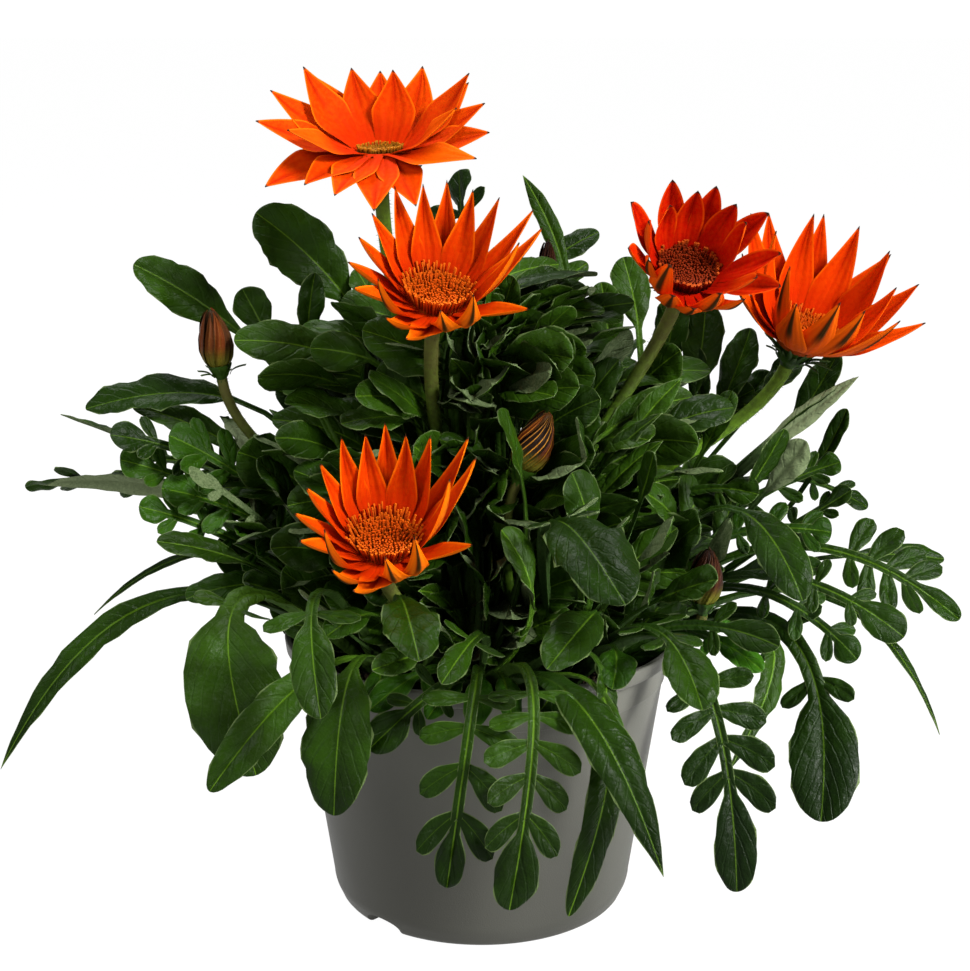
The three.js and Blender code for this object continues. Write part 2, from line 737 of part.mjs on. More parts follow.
// Head: centre of the disc (or foot of the furled rays), the way it looks, and
// where its stalk stands in the soil.
const BLOOMS = [
  {
    name: 'bloom_top', centre: [-31.7, 0, 248.7], axis: [-0.02, -0.1, 0.99], foot: [-12, 14],
    rays: WIDE_OPEN, size: 1, spread: 0, width: 7.6, shape: [0.75, 1],
  },
  {
    name: 'bloom_middle', centre: [-13.6, -25, 204.9], axis: [0.12, -0.45, 0.88], foot: [-7, -16],
    rays: HALF_OPEN, size: 0.97, spread: 8, width: 6.4, shape: [1, 0.84],
  },
  {
    name: 'bloom_low', centre: [-28.5, -60, 137], axis: [0.04, -0.45, 0.89], foot: [-14, -33],
    rays: HALF_OPEN, size: 1, spread: 0, width: 6, shape: [1, 0.84],
  },
  {
    name: 'bloom_red', centre: [64, -8, 210.6], axis: [0.15, -0.6, 0.78], foot: [12, -17],
    rays: CUPPED, size: 1, spread: 0, width: 5.4, shape: [1, 0.9], red: true,
  },
  {
    name: 'bloom_far', centre: [105, 18, 186], axis: [0.3, -0.34, 0.89], foot: [18, 9],
    rays: FLARED, size: 1, spread: 0, width: 6.4, shape: [1, 0.84],
  },
];
const BUDS = [
  {
    name: 'bud_left', centre: [-84, 0, 180], axis: [-0.12, -0.1, 0.98], foot: [-18, -3],
    size: [5.6, 19], twist: 0.3,
  },
  {
    name: 'bud_slim', centre: [22, 30, 200], axis: [0, 0, 1], foot: [12, 18],
    size: [3.4, 17], twist: 0.5,
  },
  {
    name: 'bud_striped', centre: [13, -30, 153], axis: [0.4, 0, 0.92], foot: [11, -27],
    size: [6, 20], twist: 0.7,
  },
  {
    name: 'bud_dark', centre: [69, -36, 112], axis: [0.05, -0.1, 0.99], foot: [32, -17],
    size: [5.4, 18], twist: 0.5,
  },
];

// Rosettes: where the crown stands, and its leaves as
// [kind, shoulder, tip, width, degrees turned to the front, lobes], lobes being
// [pairs, first, last, length], their places as shares of shoulder to tip.
const CROWNS = {
  left: [-34, -4],
  front_left: [-26, -26],
  front: [-2, -38],
  front_right: [24, -28],
  right: [36, -2],
  back_right: [26, 24],
  back: [-2, 34],
  back_left: [-28, 22],
  centre: [4, -2],
};
const LEAVES = {
  left: [
    ['strap', [-96, -24, 110], [-150, -46, 60], 9, 50],
    ['strap', [-89, 2, 117], [-127, -6, 98], 5, 20],
    ['lobed', [-92, 14, 134], [-151, 10, 137], 10, -36, [3, 0.1, 0.7, 12]],
    ['spoon', [-74, -22, 120], [-100, -36, 131], 9.5, 45],
    ['lobed', [-80, 4, 142], [-118, -10, 159], 11, 45, [3, 0.1, 0.65, 10]],
    ['spoon', [-77, 12, 147], [-114, 8, 165], 10, 45],
    ['strap', [-99, 26, 139], [-142, 28, 158], 11, -20],
    ['spoon', [-80, 10, 166], [-128, 2, 165], 14, 40],
    ['lobed', [-70, -12, 131], [-91, -26, 151], 8, 30, [2, 0.1, 0.55, 8]],
    ['spoon', [-57, -12, 134], [-71, -14, 152], 13, 40],
    ['spoon', [-57, -30, 110], [-73, -42, 120], 14, 40],
  ],
  back_left: [
    ['spoon', [-43, 4, 180], [-78, -8, 189], 15, 60],
    ['spoon', [-81, 28, 186], [-113, 16, 210], 16, 60],
    ['spoon', [-72, 30, 185], [-80, 32, 200], 13, 50],
    ['spoon', [-44, 36, 194], [-75, 34, 225], 22, 60],
    ['spoon', [-58, 24, 182], [-55, 26, 206], 9, 60],
    ['spoon', [-38, 0, 168], [-35, 6, 194], 12, 60],
  ],
  centre: [
    ['spoon', [-18, -8, 170], [-33, -12, 180], 15, 60],
    ['spoon', [25, -16, 159], [43, -14, 184], 15, 60],
    ['spoon', [26, 0, 175], [20, 2, 200], 11, 60],
    ['strap', [9, -6, 163], [3, -4, 183], 6, 60],
    ['strap', [19, 2, 163], [8, 4, 183], 7, -50],
    ['spoon', [5, -20, 149], [-13, -26, 161], 14, 50],
  ],
  front_left: [
    ['lobed', [-73, -58, 118], [-66, -80, 72], 29, 36, [1, 0.02, 0.03, 11]],
    ['spoon', [-45, -68, 102], [-78, -92, 72], 13, 50],
    ['spoon', [-38, -68, 101], [-43, -86, 62], 21, 0],
    ['lobed', [-48, -84, 125], [-44, -110, 101], 13, 0, [1, 0.05, 0.06, 14]],
    ['spoon', [-43, -30, 123], [-64, -44, 131], 15, 60],
    ['spoon', [-23, -76, 125], [-17, -108, 117], 16, 0],
    ['spoon', [-18, -82, 110], [-30, -104, 113], 8, 50],
    ['spoon', [-41, -54, 108], [-54, -62, 123], 13, 30],
  ],
  front: [
    ['lobed', [0, -72, 113], [-11, -104, 109], 8, 30, [1, 0.3, 0.31, 10]],
    ['lobed', [-10, -70, 97], [-33, -80, 80], 11, 40, [2, 0.15, 0.45, 9]],
    ['lobed', [-1, -76, 103], [-10, -96, 44], 9, 0, [3, 0.2, 0.7, 14]],
    ['lobed', [13, -78, 104], [8, -102, 40], 13, 0, [4, 0.19, 0.7, 16]],
    ['spoon', [34, -78, 98], [25, -100, 37], 11, 10],
    ['strap', [23, -82, 100], [51, -110, 54], 15, 10],
    ['spoon', [23, -64, 96], [16, -78, 90], 13, 0],
    ['spoon', [35, -73, 103], [35, -86, 80], 9, 0],
    ['spoon', [12, -46, 154], [5, -50, 175], 14, 50],
    ['spoon', [15, -50, 120], [6, -52, 139], 13, 30],
    ['spoon', [-9, -58, 106], [-19, -62, 119], 11, 30],
    ['spoon', [-2, -38, 124], [-8, -42, 144], 12, 30],
  ],
  front_right: [
    ['spoon', [33, -74, 120], [18, -106, 114], 14, 20],
    ['lobed', [21, -58, 143], [39, -108, 133], 22, 10, [2, -0.05, 0.06, 14]],
    ['lobed', [51, -64, 112], [62, -98, 99], 15, 10, [2, -0.15, 0.2, 12]],
    ['spoon', [49, -40, 110], [52, -52, 126], 9, 30],
    ['lobed', [68, -52, 109], [88, -66, 107], 10, 50, [1, 0.05, 0.06, 9]],
    ['lobed', [54, -64, 110], [76, -80, 35], 13, 40, [3, 0.26, 0.66, 15]],
    ['spoon', [32, -34, 151], [29, -36, 170], 9, 60],
    ['strap', [37, -30, 153], [55, -34, 171], 7, 40],
    ['strap', [39, -26, 145], [56, -28, 161], 8, 40],
    ['spoon', [49, -34, 144], [52, -40, 160], 9, 60],
    ['spoon', [33, -46, 137], [27, -50, 156], 14, 30],
    ['spoon', [54, -48, 116], [70, -60, 126], 13, 40],
    ['spoon', [48, -44, 127], [57, -52, 142], 13, 30],
  ],
  right: [
    ['lobed', [102, -12, 123], [152, -24, 102], 8, 50, [4, 0.35, 0.78, 13]],
    ['spoon', [122, 2, 116], [153, 4, 114], 9, 40],
    ['lobed', [95, -34, 119], [129, -48, 104], 12, 50, [2, 0.22, 0.52, 9]],
    ['strap', [119, -6, 101], [150, -16, 60], 5, 30],
    ['lobed', [94, -28, 101], [105, -54, 46], 22, 55, [2, 0.02, 0.4, 13]],
    ['strap', [90, -42, 100], [75, -60, 65], 9, 0],
    ['spoon', [82, -22, 137], [98, -46, 115], 15, 40],
    ['spoon', [86, -4, 139], [97, -6, 160], 11, -50],
    ['strap', [94, 6, 154], [120, 2, 175], 7, -30],
    ['lobed', [107, 18, 138], [129, 14, 129], 9, 30, [2, 0.15, 0.5, 9]],
    ['spoon', [111, 14, 142], [120, 12, 163], 7, 40],
    ['lobed', [100, 2, 124], [120, -2, 139], 8, 30, [2, 0.1, 0.5, 8]],
    ['spoon', [62, -18, 132], [50, -28, 145], 12, 50],
    ['lobed', [71, 2, 138], [89, -8, 139], 10, 50, [1, 0.25, 0.3, 9]],
    ['spoon', [70, -20, 118], [78, -26, 135], 12, 40],
  ],
  back_right: [
    ['spoon', [74, 32, 155], [72, 38, 180], 8, 60],
    ['spoon', [73, 8, 150], [82, 12, 169], 11, 50],
    ['spoon', [43, 28, 178], [40, 33, 202], 12, 60],
    ['spoon', [53, 34, 186], [48, 44, 209], 13, 50],
    ['spoon', [104, 28, 152], [120, 30, 179], 12, 40],
    ['spoon', [95, 34, 162], [109, 40, 177], 10, 40],
  ],
  back: [
    ['lobed', [-6, 40, 209], [-8, 58, 237], 12, 60, [1, 0.45, 0.46, 12]],
    ['strap', [27, 40, 209], [14, 52, 236], 7, 50],
    ['spoon', [22, 44, 207], [40, 50, 217], 9, 50],
    ['spoon', [23, 40, 198], [36, 44, 207], 8, 50],
  ],
};

// ---- the plant -------------------------------------------------------------
const plant = new THREE.Group();

function addPart(name, manifold, colour, roughness = 0.6) {
  const material = new THREE.MeshStandardMaterial({ color: colour, roughness, metalness: 0 });
  const mesh = new THREE.Mesh(geometryOf(manifold), material);
  mesh.name = name;
  plant.add(mesh);
}

const holes = [
  ...Object.values(CROWNS).map(([x, y]) => [x, y, CROWN_RADIUS, CROWN_SIDES]),
  ...BLOOMS.map(({ foot }) => [...foot, STALK_RADIUS, STALK_SIDES]),
  ...BUDS.map(({ foot }) => [...foot, BUD_STALK_RADIUS, STALK_SIDES]),
];
addPart('pot', potSolid(), COLOURS.pot, 0.55);
addPart('soil', soilSolid(holes), COLOURS.soil, 1);

const tierLeaf = tierLeaves();
for (const [name, crown] of Object.entries(CROWNS)) {
  const leaves = [...(LEAVES[name] ?? []), ...tierLeaf[name]];
  addPart(`leaves_${name}`, rosette({ crown, leaves }), COLOURS.leaf, 0.4);
}
for (const bloom of BLOOMS) {
  addPart(`${bloom.name}_rays`, raysOf(bloom), bloom.red ? COLOURS.redRay : COLOURS.ray);
  addPart(`${bloom.name}_disc`, discOf(bloom), bloom.red ? COLOURS.redDisc : COLOURS.disc, 0.8);
  addPart(`${bloom.name}_stalk`, stalkOf(bloom), COLOURS.stalk);
}
for (const bud of BUDS) {
  addPart(`${bud.name}_petals`, furledOf(bud), COLOURS.bud);
  addPart(`${bud.name}_stalk`, budStalkOf(bud), COLOURS.stalk);
}

export default plant;
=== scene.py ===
"""A gazania in its nursery pot: fine leaves, rays, florets, stalks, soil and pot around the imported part."""

import math

import bmesh
import bpy
import numpy as np
from mathutils import Matrix, Vector


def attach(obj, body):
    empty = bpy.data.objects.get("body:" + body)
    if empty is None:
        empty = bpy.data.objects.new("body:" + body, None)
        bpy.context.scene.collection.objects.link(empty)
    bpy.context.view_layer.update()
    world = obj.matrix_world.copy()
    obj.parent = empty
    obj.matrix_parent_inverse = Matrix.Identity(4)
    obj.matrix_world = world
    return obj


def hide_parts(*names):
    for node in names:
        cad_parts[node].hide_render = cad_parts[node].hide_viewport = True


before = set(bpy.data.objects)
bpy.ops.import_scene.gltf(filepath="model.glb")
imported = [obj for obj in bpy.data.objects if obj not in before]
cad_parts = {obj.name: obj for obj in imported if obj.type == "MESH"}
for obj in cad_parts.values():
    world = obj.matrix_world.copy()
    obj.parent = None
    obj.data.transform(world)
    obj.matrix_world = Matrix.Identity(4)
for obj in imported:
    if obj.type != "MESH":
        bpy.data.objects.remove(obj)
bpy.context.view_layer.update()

# ---- sizes, in millimetres -------------------------------------------------
METRES = 0.001
POT_HEIGHT = 91.5
POT_RIM_RADIUS = 65
POT_RIM_DEPTH = 5
POT_NECK_RADIUS = 61.2
POT_LINE_DROP = 8.8
POT_HEEL_RADIUS = 50
POT_HEEL_HEIGHT = 8.7
POT_FOOT_RADIUS = 45.6
POT_FOOT_WIDTH = 4.4
POT_WALL = 1.6
POT_RIM_WALL = 2.2
POT_FLOOR = 5.6
POT_TURNS = 160
NOTCH_WIDTH = 15
NOTCH_HEIGHT = 5
NOTCH_AZIMUTHS = (228, 348, 108)
DRAIN_RADIUS = 4
DRAIN_RING = 29
DRAIN_COUNT = 4

SOIL_LEVEL = 80
SOIL_CLEARANCE = 0.6
HOLE_DEPTH = 14
ROOT_LEVEL = SOIL_LEVEL + 1
CROWN_RADIUS = 6.4
CROWN_TOP = 87.4
CROWN_ROOTS = 5
STALK_RADIUS = 2.3
BUD_STALK_RADIUS = 1.7
BUD_WRAPS = 9
BUD_BRACTS = 8
STALK_UPRIGHT = 7
STALK_TOP = 11
CUP_HEIGHT = 9
BRACTS = 22

MIDRIB = 3.4
PETIOLE_WIDTH = 2.0
PETIOLE_THICKNESS = 1.7
LEAF_THICKNESS = 0.35
LOBE_WIDTH = 0.48
# Painted shade: leaves whose tips reach past this far to the right are darkened over this run.
RIGHT_SHADE_FROM = 65
RIGHT_SHADE_RUN = 40
RECEPTACLE = 9.4
COLLAR_BASE = -2.6
RAY_ROOT = -1.5
RAY_TWIST = 0.2
RAY_THICKNESS = 0.5

GOLDEN_ANGLE = math.pi * (3 - math.sqrt(5))

# Rays of a head, in order round it from the front, as (turn, lift, length): degrees
# round to the tip, degrees that the ray stands up, and its length.
WIDE_OPEN = (
    (-1, -25, 28), (22, -28, 25), (54, 2, 28), (57, 38, 25), (70, 15, 28),
    (84, 32, 28), (100, 50, 30), (122, 38, 30), (147, 57, 28), (164, 76, 24),
    (181, 50, 28), (207, 66, 26), (229, 46, 31), (248, 58, 30), (263, 38, 31),
    (283, 22, 31), (296, -14, 30), (304, 24, 25), (320, -12, 25), (338, -18, 25),
)
HALF_OPEN = (
    (-12, 29, 28), (3, 50, 28), (22, 59, 30), (52, 42, 31), (82, 73, 31), (108, 59, 34),
    (128, 55, 35), (139, 74, 33), (159, 82, 33), (184, 71, 33), (208, 82, 33), (234, 78, 34),
    (260, 71, 30), (282, 63, 29), (296, 51, 29), (312, 43, 29), (323, 56, 30), (336, 38, 29),
)
CUPPED = (
    (1, 37, 25), (16, 49, 26), (32, 43, 26), (46, 54, 26), (62, 38, 26), (80, 52, 26), (102, 80, 24),
    (118, 58, 26), (136, 78, 24), (168, 78, 26), (190, 82, 24), (216, 71, 26), (240, 84, 22),
    (258, 58, 25), (280, 72, 23), (299, 50, 23), (318, 56, 23), (335, 62, 23), (347, 42, 26),
)
FLARED = (
    (0, 58, 36), (18, 58, 35), (38, 52, 38), (60, 48, 38), (76, 70, 33), (92, 60, 37),
    (113, 78, 38), (130, 64, 36), (160, 80, 39), (194, 70, 38), (220, 80, 39), (242, 62, 38),
    (256, 57, 40), (270, 70, 36), (284, 50, 34), (300, 38, 33), (315, 66, 34), (337, 49, 34),
)

# A head stands at centre, looks along axis, and its stalk stands in the soil at foot.
# Of its rays, size scales the lengths and spread lays them down by that many degrees;
# width is the greatest, foot_width its share at the foot, belly how far along a ray is
# broadest, point how sharply it runs out, fold how far it is channelled, sag how far
# the front rays bend down before they rise, and facing how far the side rays roll
# their faces to the front.
BROAD = dict(rays=WIDE_OPEN, size=1, spread=0, foot_width=0.66, belly=0.5, point=0.95, fold=0.35, sag=0)
NARROW = dict(rays=HALF_OPEN, foot_width=0.7, belly=0.36, point=1.0, fold=1.05, sag=0.75, facing=0)
SHORT = dict(rays=CUPPED, size=1, spread=0, foot_width=0.65, belly=0.5, point=0.66, fold=0.6, sag=0.7)
LONG = dict(rays=FLARED, size=1, spread=0, foot_width=0.6, belly=0.42, point=0.95, fold=0.6, sag=0.25)
BLOOMS = [
    dict(BROAD, name="bloom_top", centre=(-31.7, 0, 248.7), axis=(-0.02, -0.1, 0.99), foot=(-12, 14),
         width=14, facing=0.5),
    dict(NARROW, name="bloom_middle", centre=(-13.6, -25, 204.9), axis=(0.12, -0.45, 0.88), foot=(-7, -16),
         width=10.2, size=0.97, spread=8),
    dict(NARROW, name="bloom_low", centre=(-28.5, -60, 137), axis=(0.04, -0.45, 0.89), foot=(-14, -33),
         width=9.8, size=1, spread=0),
    dict(SHORT, name="bloom_red", centre=(64, -8, 210.6), axis=(0.15, -0.6, 0.78), foot=(12, -17),
         width=9.2, facing=0.2),
    dict(LONG, name="bloom_far", centre=(105, 18, 186), axis=(0.3, -0.34, 0.89), foot=(18, 9),
         width=12.4, facing=0.4),
]
# Discs: the florets' number and sizes in metres, how far they lean out, and how far
# their feet and their bed lie from the head's centre, in metres and millimetres.
ORANGE_DISC = dict(florets=dict(Count=340, Radius=0.0088, Height=0.0045, Girth=0.00034),
                   lean=0.36, foot=-0.0004, sunk=0)
FLAT_DISC = dict(florets=dict(Count=240, Radius=0.0068, Height=0.0018, Girth=0.00036),
                 lean=0.18, foot=-0.0020, sunk=1.4)
RED_DISC = dict(florets=dict(Count=420, Radius=0.0090, Height=0.0030, Girth=0.00034),
                lean=0.18, foot=-0.0004, sunk=0)
BED_PROFILE = ((6.5, -4), (8.2, -2.6), (8.6, -0.8), (6, -0.2), (3, 0.2))
# Buds: size is radius and height, twist how far the rays wind round.
BUDS = [
    dict(name="bud_left", centre=(-84, 0, 180), axis=(-0.12, -0.1, 0.98), foot=(-18, -3),
         size=(5.6, 19), twist=0.3, look="rust"),
    dict(name="bud_slim", centre=(22, 30, 200), axis=(0, 0, 1), foot=(12, 18),
         size=(3.4, 17), twist=0.5, look="maroon"),
    dict(name="bud_striped", centre=(13, -30, 153), axis=(0.4, 0, 0.92), foot=(11, -27),
         size=(6, 20), twist=0.7, look="striped"),
    dict(name="bud_dark", centre=(69, -36, 112), axis=(0.05, -0.1, 0.99), foot=(32, -17),
         size=(5.4, 18), twist=0.5, look="maroon"),
]

# Rosettes: where each crown stands, and its leaves as (kind, shoulder, tip, width,
# degrees turned to the front, lobes), lobes being (pairs, first, last, length).
CROWNS = {
    "left": (-34, -4),
    "front_left": (-26, -26),
    "front": (-2, -38),
    "front_right": (24, -28),
    "right": (36, -2),
    "back_right": (26, 24),
    "back": (-2, 34),
    "back_left": (-28, 22),
    "centre": (4, -2),
}
LEAVES = {
    "left": [
        ("strap", (-96, -24, 110), (-150, -46, 60), 9, 50),
        ("strap", (-89, 2, 117), (-127, -6, 98), 5, 20),
        ("lobed", (-92, 14, 134), (-151, 10, 137), 10, -36, (3, 0.1, 0.7, 12)),
        ("spoon", (-74, -22, 120), (-100, -36, 131), 9.5, 45),
        ("lobed", (-80, 4, 142), (-118, -10, 159), 11, 45, (3, 0.1, 0.65, 10)),
        ("spoon", (-77, 12, 147), (-114, 8, 165), 10, 45),
        ("strap", (-99, 26, 139), (-142, 28, 158), 11, -20),
        ("spoon", (-80, 10, 166), (-128, 2, 165), 14, 40),
        ("lobed", (-70, -12, 131), (-91, -26, 151), 8, 30, (2, 0.1, 0.55, 8)),
        ("spoon", (-57, -12, 134), (-71, -14, 152), 13, 40),
        ("spoon", (-57, -30, 110), (-73, -42, 120), 14, 40),
    ],
    "back_left": [
        ("spoon", (-43, 4, 180), (-78, -8, 189), 15, 60),
        ("spoon", (-81, 28, 186), (-113, 16, 210), 16, 60),
        ("spoon", (-72, 30, 185), (-80, 32, 200), 13, 50),
        ("spoon", (-44, 36, 194), (-75, 34, 225), 22, 60),
        ("spoon", (-58, 24, 182), (-55, 26, 206), 9, 60),
        ("spoon", (-38, 0, 168), (-35, 6, 194), 12, 60),
    ],
    "centre": [
        ("spoon", (-18, -8, 170), (-33, -12, 180), 15, 60),
        ("spoon", (25, -16, 159), (43, -14, 184), 15, 60),
        ("spoon", (26, 0, 175), (20, 2, 200), 11, 60),
        ("strap", (9, -6, 163), (3, -4, 183), 6, 60),
        ("strap", (19, 2, 163), (8, 4, 183), 7, -50),
        ("spoon", (5, -20, 149), (-13, -26, 161), 14, 50),
    ],
    "front_left": [
        ("lobed", (-73, -58, 118), (-66, -80, 72), 29, 36, (1, 0.02, 0.03, 11)),
        ("spoon", (-45, -68, 102), (-78, -92, 72), 13, 50),
        ("spoon", (-38, -68, 101), (-43, -86, 62), 21, 0),
        ("lobed", (-48, -84, 125), (-44, -110, 101), 13, 0, (1, 0.05, 0.06, 14)),
        ("spoon", (-43, -30, 123), (-64, -44, 131), 15, 60),
        ("spoon", (-23, -76, 125), (-17, -108, 117), 16, 0),
        ("spoon", (-18, -82, 110), (-30, -104, 113), 8, 50),
        ("spoon", (-41, -54, 108), (-54, -62, 123), 13, 30),
    ],
    "front": [
        ("lobed", (0, -72, 113), (-11, -104, 109), 8, 30, (1, 0.3, 0.31, 10)),
        ("lobed", (-10, -70, 97), (-33, -80, 80), 11, 40, (2, 0.15, 0.45, 9)),
        ("lobed", (-1, -76, 103), (-10, -96, 44), 9, 0, (4, 0.24, 0.76, 14)),
        ("lobed", (13, -78, 104), (8, -102, 40), 13, 0, (5, 0.2, 0.72, 13.5)),
        ("spoon", (34, -78, 98), (25, -100, 37), 11, 10),
        ("strap", (23, -82, 100), (51, -110, 54), 15, 10),
        ("spoon", (23, -64, 96), (16, -78, 90), 13, 0),
        ("spoon", (35, -73, 103), (35, -86, 80), 9, 0),
        ("spoon", (12, -46, 154), (5, -50, 175), 14, 50),
        ("spoon", (15, -50, 120), (6, -52, 139), 13, 30),
        ("spoon", (-9, -58, 106), (-19, -62, 119), 11, 30),
        ("spoon", (-2, -38, 124), (-8, -42, 144), 12, 30),
    ],
    "front_right": [
        ("spoon", (33, -74, 120), (18, -106, 114), 14, 20),
        ("lobed", (21, -58, 143), (39, -108, 133), 22, 10, (2, -0.05, 0.06, 14)),
        ("lobed", (51, -64, 112), (62, -98, 99), 15, 10, (2, -0.15, 0.2, 12)),
        ("spoon", (49, -40, 110), (52, -52, 126), 9, 30),
        ("lobed", (68, -52, 109), (88, -66, 107), 10, 50, (1, 0.05, 0.06, 9)),
        ("lobed", (54, -64, 110), (76, -80, 35), 13, 40, (4, 0.36, 0.68, 15)),
        ("spoon", (32, -34, 151), (29, -36, 170), 9, 60),
        ("strap", (37, -30, 153), (55, -34, 171), 7, 40),
        ("strap", (39, -26, 145), (56, -28, 161), 8, 40),
        ("spoon", (49, -34, 144), (52, -40, 160), 9, 60),
        ("spoon", (33, -46, 137), (27, -50, 156), 14, 30),
        ("spoon", (54, -48, 116), (70, -60, 126), 13, 40),
        ("spoon", (48, -44, 127), (57, -52, 142), 13, 30),
    ],
    "right": [
        ("lobed", (102, -12, 123), (152, -24, 102), 8, 50, (4, 0.3, 0.64, 14)),
        ("spoon", (122, 2, 116), (153, 4, 114), 9, 40),
        ("lobed", (95, -34, 119), (129, -48, 104), 12, 50, (2, 0.22, 0.52, 9)),
        ("strap", (119, -6, 101), (150, -16, 60), 5, 30),
        ("lobed", (94, -28, 101), (105, -54, 46), 22, 55, (2, 0.02, 0.4, 13)),
        ("strap", (90, -42, 100), (75, -60, 65), 9, 0),
        ("spoon", (82, -22, 137), (98, -46, 115), 15, 40),
        ("spoon", (86, -4, 139), (97, -6, 160), 11, -50),
        ("strap", (94, 6, 154), (120, 2, 175), 7, -30),
        ("lobed", (107, 18, 138), (129, 14, 129), 9, 30, (2, 0.15, 0.5, 9)),
        ("spoon", (111, 14, 142), (120, 12, 163), 7, 40),
        ("lobed", (100, 2, 124), (120, -2, 139), 8, 30, (2, 0.1, 0.5, 8)),
        ("spoon", (62, -18, 132), (50, -28, 145), 12, 50),
        ("lobed", (71, 2, 138), (89, -8, 139), 10, 50, (1, 0.25, 0.3, 9)),
        ("spoon", (70, -20, 118), (78, -26, 135), 12, 40),
    ],
    "back_right": [
        ("spoon", (74, 32, 155), (72, 38, 180), 8, 60),
        ("spoon", (73, 8, 150), (82, 12, 169), 11, 50),
        ("spoon", (43, 28, 178), (40, 33, 202), 12, 60),
        ("spoon", (53, 34, 186), (48, 44, 209), 13, 50),
        ("spoon", (104, 28, 152), (120, 30, 179), 12, 40),
        ("spoon", (95, 34, 162), (109, 40, 177), 10, 40),
    ],
    "back": [
        ("lobed", (-6, 40, 209), (-8, 58, 237), 12, 60, (1, 0.45, 0.46, 12)),
        ("strap", (27, 40, 209), (14, 52, 236), 7, 50),
        ("spoon", (22, 44, 207), (40, 50, 217), 9, 50),
        ("spoon", (23, 40, 198), (36, 44, 207), 8, 50),
    ],
}

# Tiers of leaves spread evenly over an arc, with a little scatter.  Shoulder and tip
# are (distance from the middle, height).
TIERS = [
    dict(arc=(36, 146), count=4, kinds=("lobed", "strap"), shoulder=(72, 104), tip=(94, 52), width=12),
    dict(arc=(30, 148), count=5, kinds=("lobed", "spoon"), shoulder=(78, 128), tip=(112, 117), width=12),
    dict(arc=(36, 146), count=5, kinds=("spoon", "lobed"), shoulder=(56, 156), tip=(84, 172), width=13),
    dict(arc=(62, 150), count=3, kinds=("spoon",), shoulder=(40, 178), tip=(58, 204), width=14),
    dict(arc=(30, 150), count=6, kinds=("spoon",), shoulder=(46, 116), tip=(64, 134), width=14),
    dict(arc=(34, 146), count=5, kinds=("spoon",), shoulder=(62, 100), tip=(90, 92), width=15),
]
TIER_LOBES = (2, 0.1, 0.5, 12)

# Leaves with no solid of their own, as (row, how young, or below 0 how woolly).
EXTRA = {
    "front": [
        (("spoon", (-6, -62, 96), (-16, -76, 88), 8, 20), 1.0),
        (("spoon", (0, -64, 97), (-2, -80, 87), 9, 0), 1.0),
        (("spoon", (6, -63, 97), (9, -79, 88), 8, 0), 0.9),
        (("lobed", (-14, -60, 98), (-33, -74, 90), 9, 30, (1, 0.2, 0.21, 8)), 0.9),
    ],
    "front_left": [
        (("spoon", (-30, -58, 98), (-30, -74, 89), 9, 0), 0.5),
        (("spoon", (-34, -50, 112), (-46, -66, 110), 10, 30), 0.2),
    ],
    "front_right": [
        (("lobed", (66, -50, 106), (84, -62, 98), 9, 40, (1, 0.1, 0.11, 8)), 1.0),
        (("spoon", (40, -60, 104), (38, -78, 98), 12, 0), 0.2),
        (("spoon", (28, -46, 126), (20, -54, 138), 13, 30), 0.0),
        (("spoon", (36, -44, 128), (44, -50, 142), 13, 30), 0.0),
    ],
    "left": [
        (("lobed", (-72, 4, 126), (-116, -6, 150), 12, 45, (4, 0.05, 0.7, 11)), 0.3),
        (("lobed", (-70, -8, 118), (-108, -20, 138), 10, 45, (4, 0.05, 0.7, 10)), 0.5),
        (("lobed", (-72, 16, 134), (-120, 14, 146), 12, 30, (3, 0.1, 0.7, 11)), 0.1),
        (("spoon", (-66, -20, 112), (-92, -34, 112), 12, 30), 0.2),
        (("strap", (-84, 18, 158), (-58, -8, 128), 9, -40), -1.0),
        (("strap", (-92, 12, 132), (-146, 9, 138), 9, -60), -1.0),
        (("lobed", (-66, 2, 132), (-100, -6, 158), 15, 40, (4, 0.02, 0.66, 14)), 0.4),
        (("lobed", (-64, -6, 124), (-102, -12, 142), 14, 35, (4, 0.02, 0.66, 13)), 0.5),
        (("lobed", (-62, 8, 128), (-98, 4, 134), 14, 35, (4, 0.02, 0.66, 13)), 0.3),
    ],
    "right": [
        (("lobed", (80, -10, 126), (112, -14, 128), 10, 45, (3, 0.05, 0.7, 10)), 0.2),
        (("lobed", (84, 8, 130), (118, 8, 146), 10, 40, (3, 0.1, 0.7, 9)), 0.1),
        (("spoon", (80, -26, 118), (106, -34, 122), 11, 40), 0.1),
        (("strap", (92, 3, 151), (121, 0, 176), 8, 40), -1.0),
        (("spoon", (92, -2, 138), (104, -6, 156), 11, 50), -0.7),
        (("lobed", (86, -24, 112), (118, -34, 92), 10, 45, (3, 0.1, 0.7, 10)), 0.1),
    ],
    "back_right": [
        (("spoon", (72, 34, 164), (76, 40, 195), 14, 60), 0.0),
        (("spoon", (80, 30, 158), (91, 36, 186), 13, 40), 0.0),
        (("spoon", (62, 38, 170), (66, 42, 196), 13, 40), 0.1),
        (("spoon", (82, 38, 150), (99, 42, 170), 12, 50), 0.1),
        (("lobed", (70, 36, 150), (92, 30, 166), 10, 50, (2, 0.1, 0.5, 10)), 0.1),
    ],
}

# Inner leaves: how far out they reach at each height, to the sides and to the front,
# and how far they keep clear of a bloom, a bud and a stalk in the view from the front.
FILLERS = 520
FILLER_LOWEST = 96
FILLER_RISE = 114
FILLER_HEIGHTS = (95, 120, 150, 175, 195, 215)
FILLER_SIDE = (78, 90, 90, 78, 55, 30)
FILLER_FRONT = (60, 58, 48, 34, 16, 6)
BLOOM_CLEAR = 27
BUD_CLEAR = 12
STALK_CLEAR = 5

UP = np.array((0.0, 0.0, 1.0))


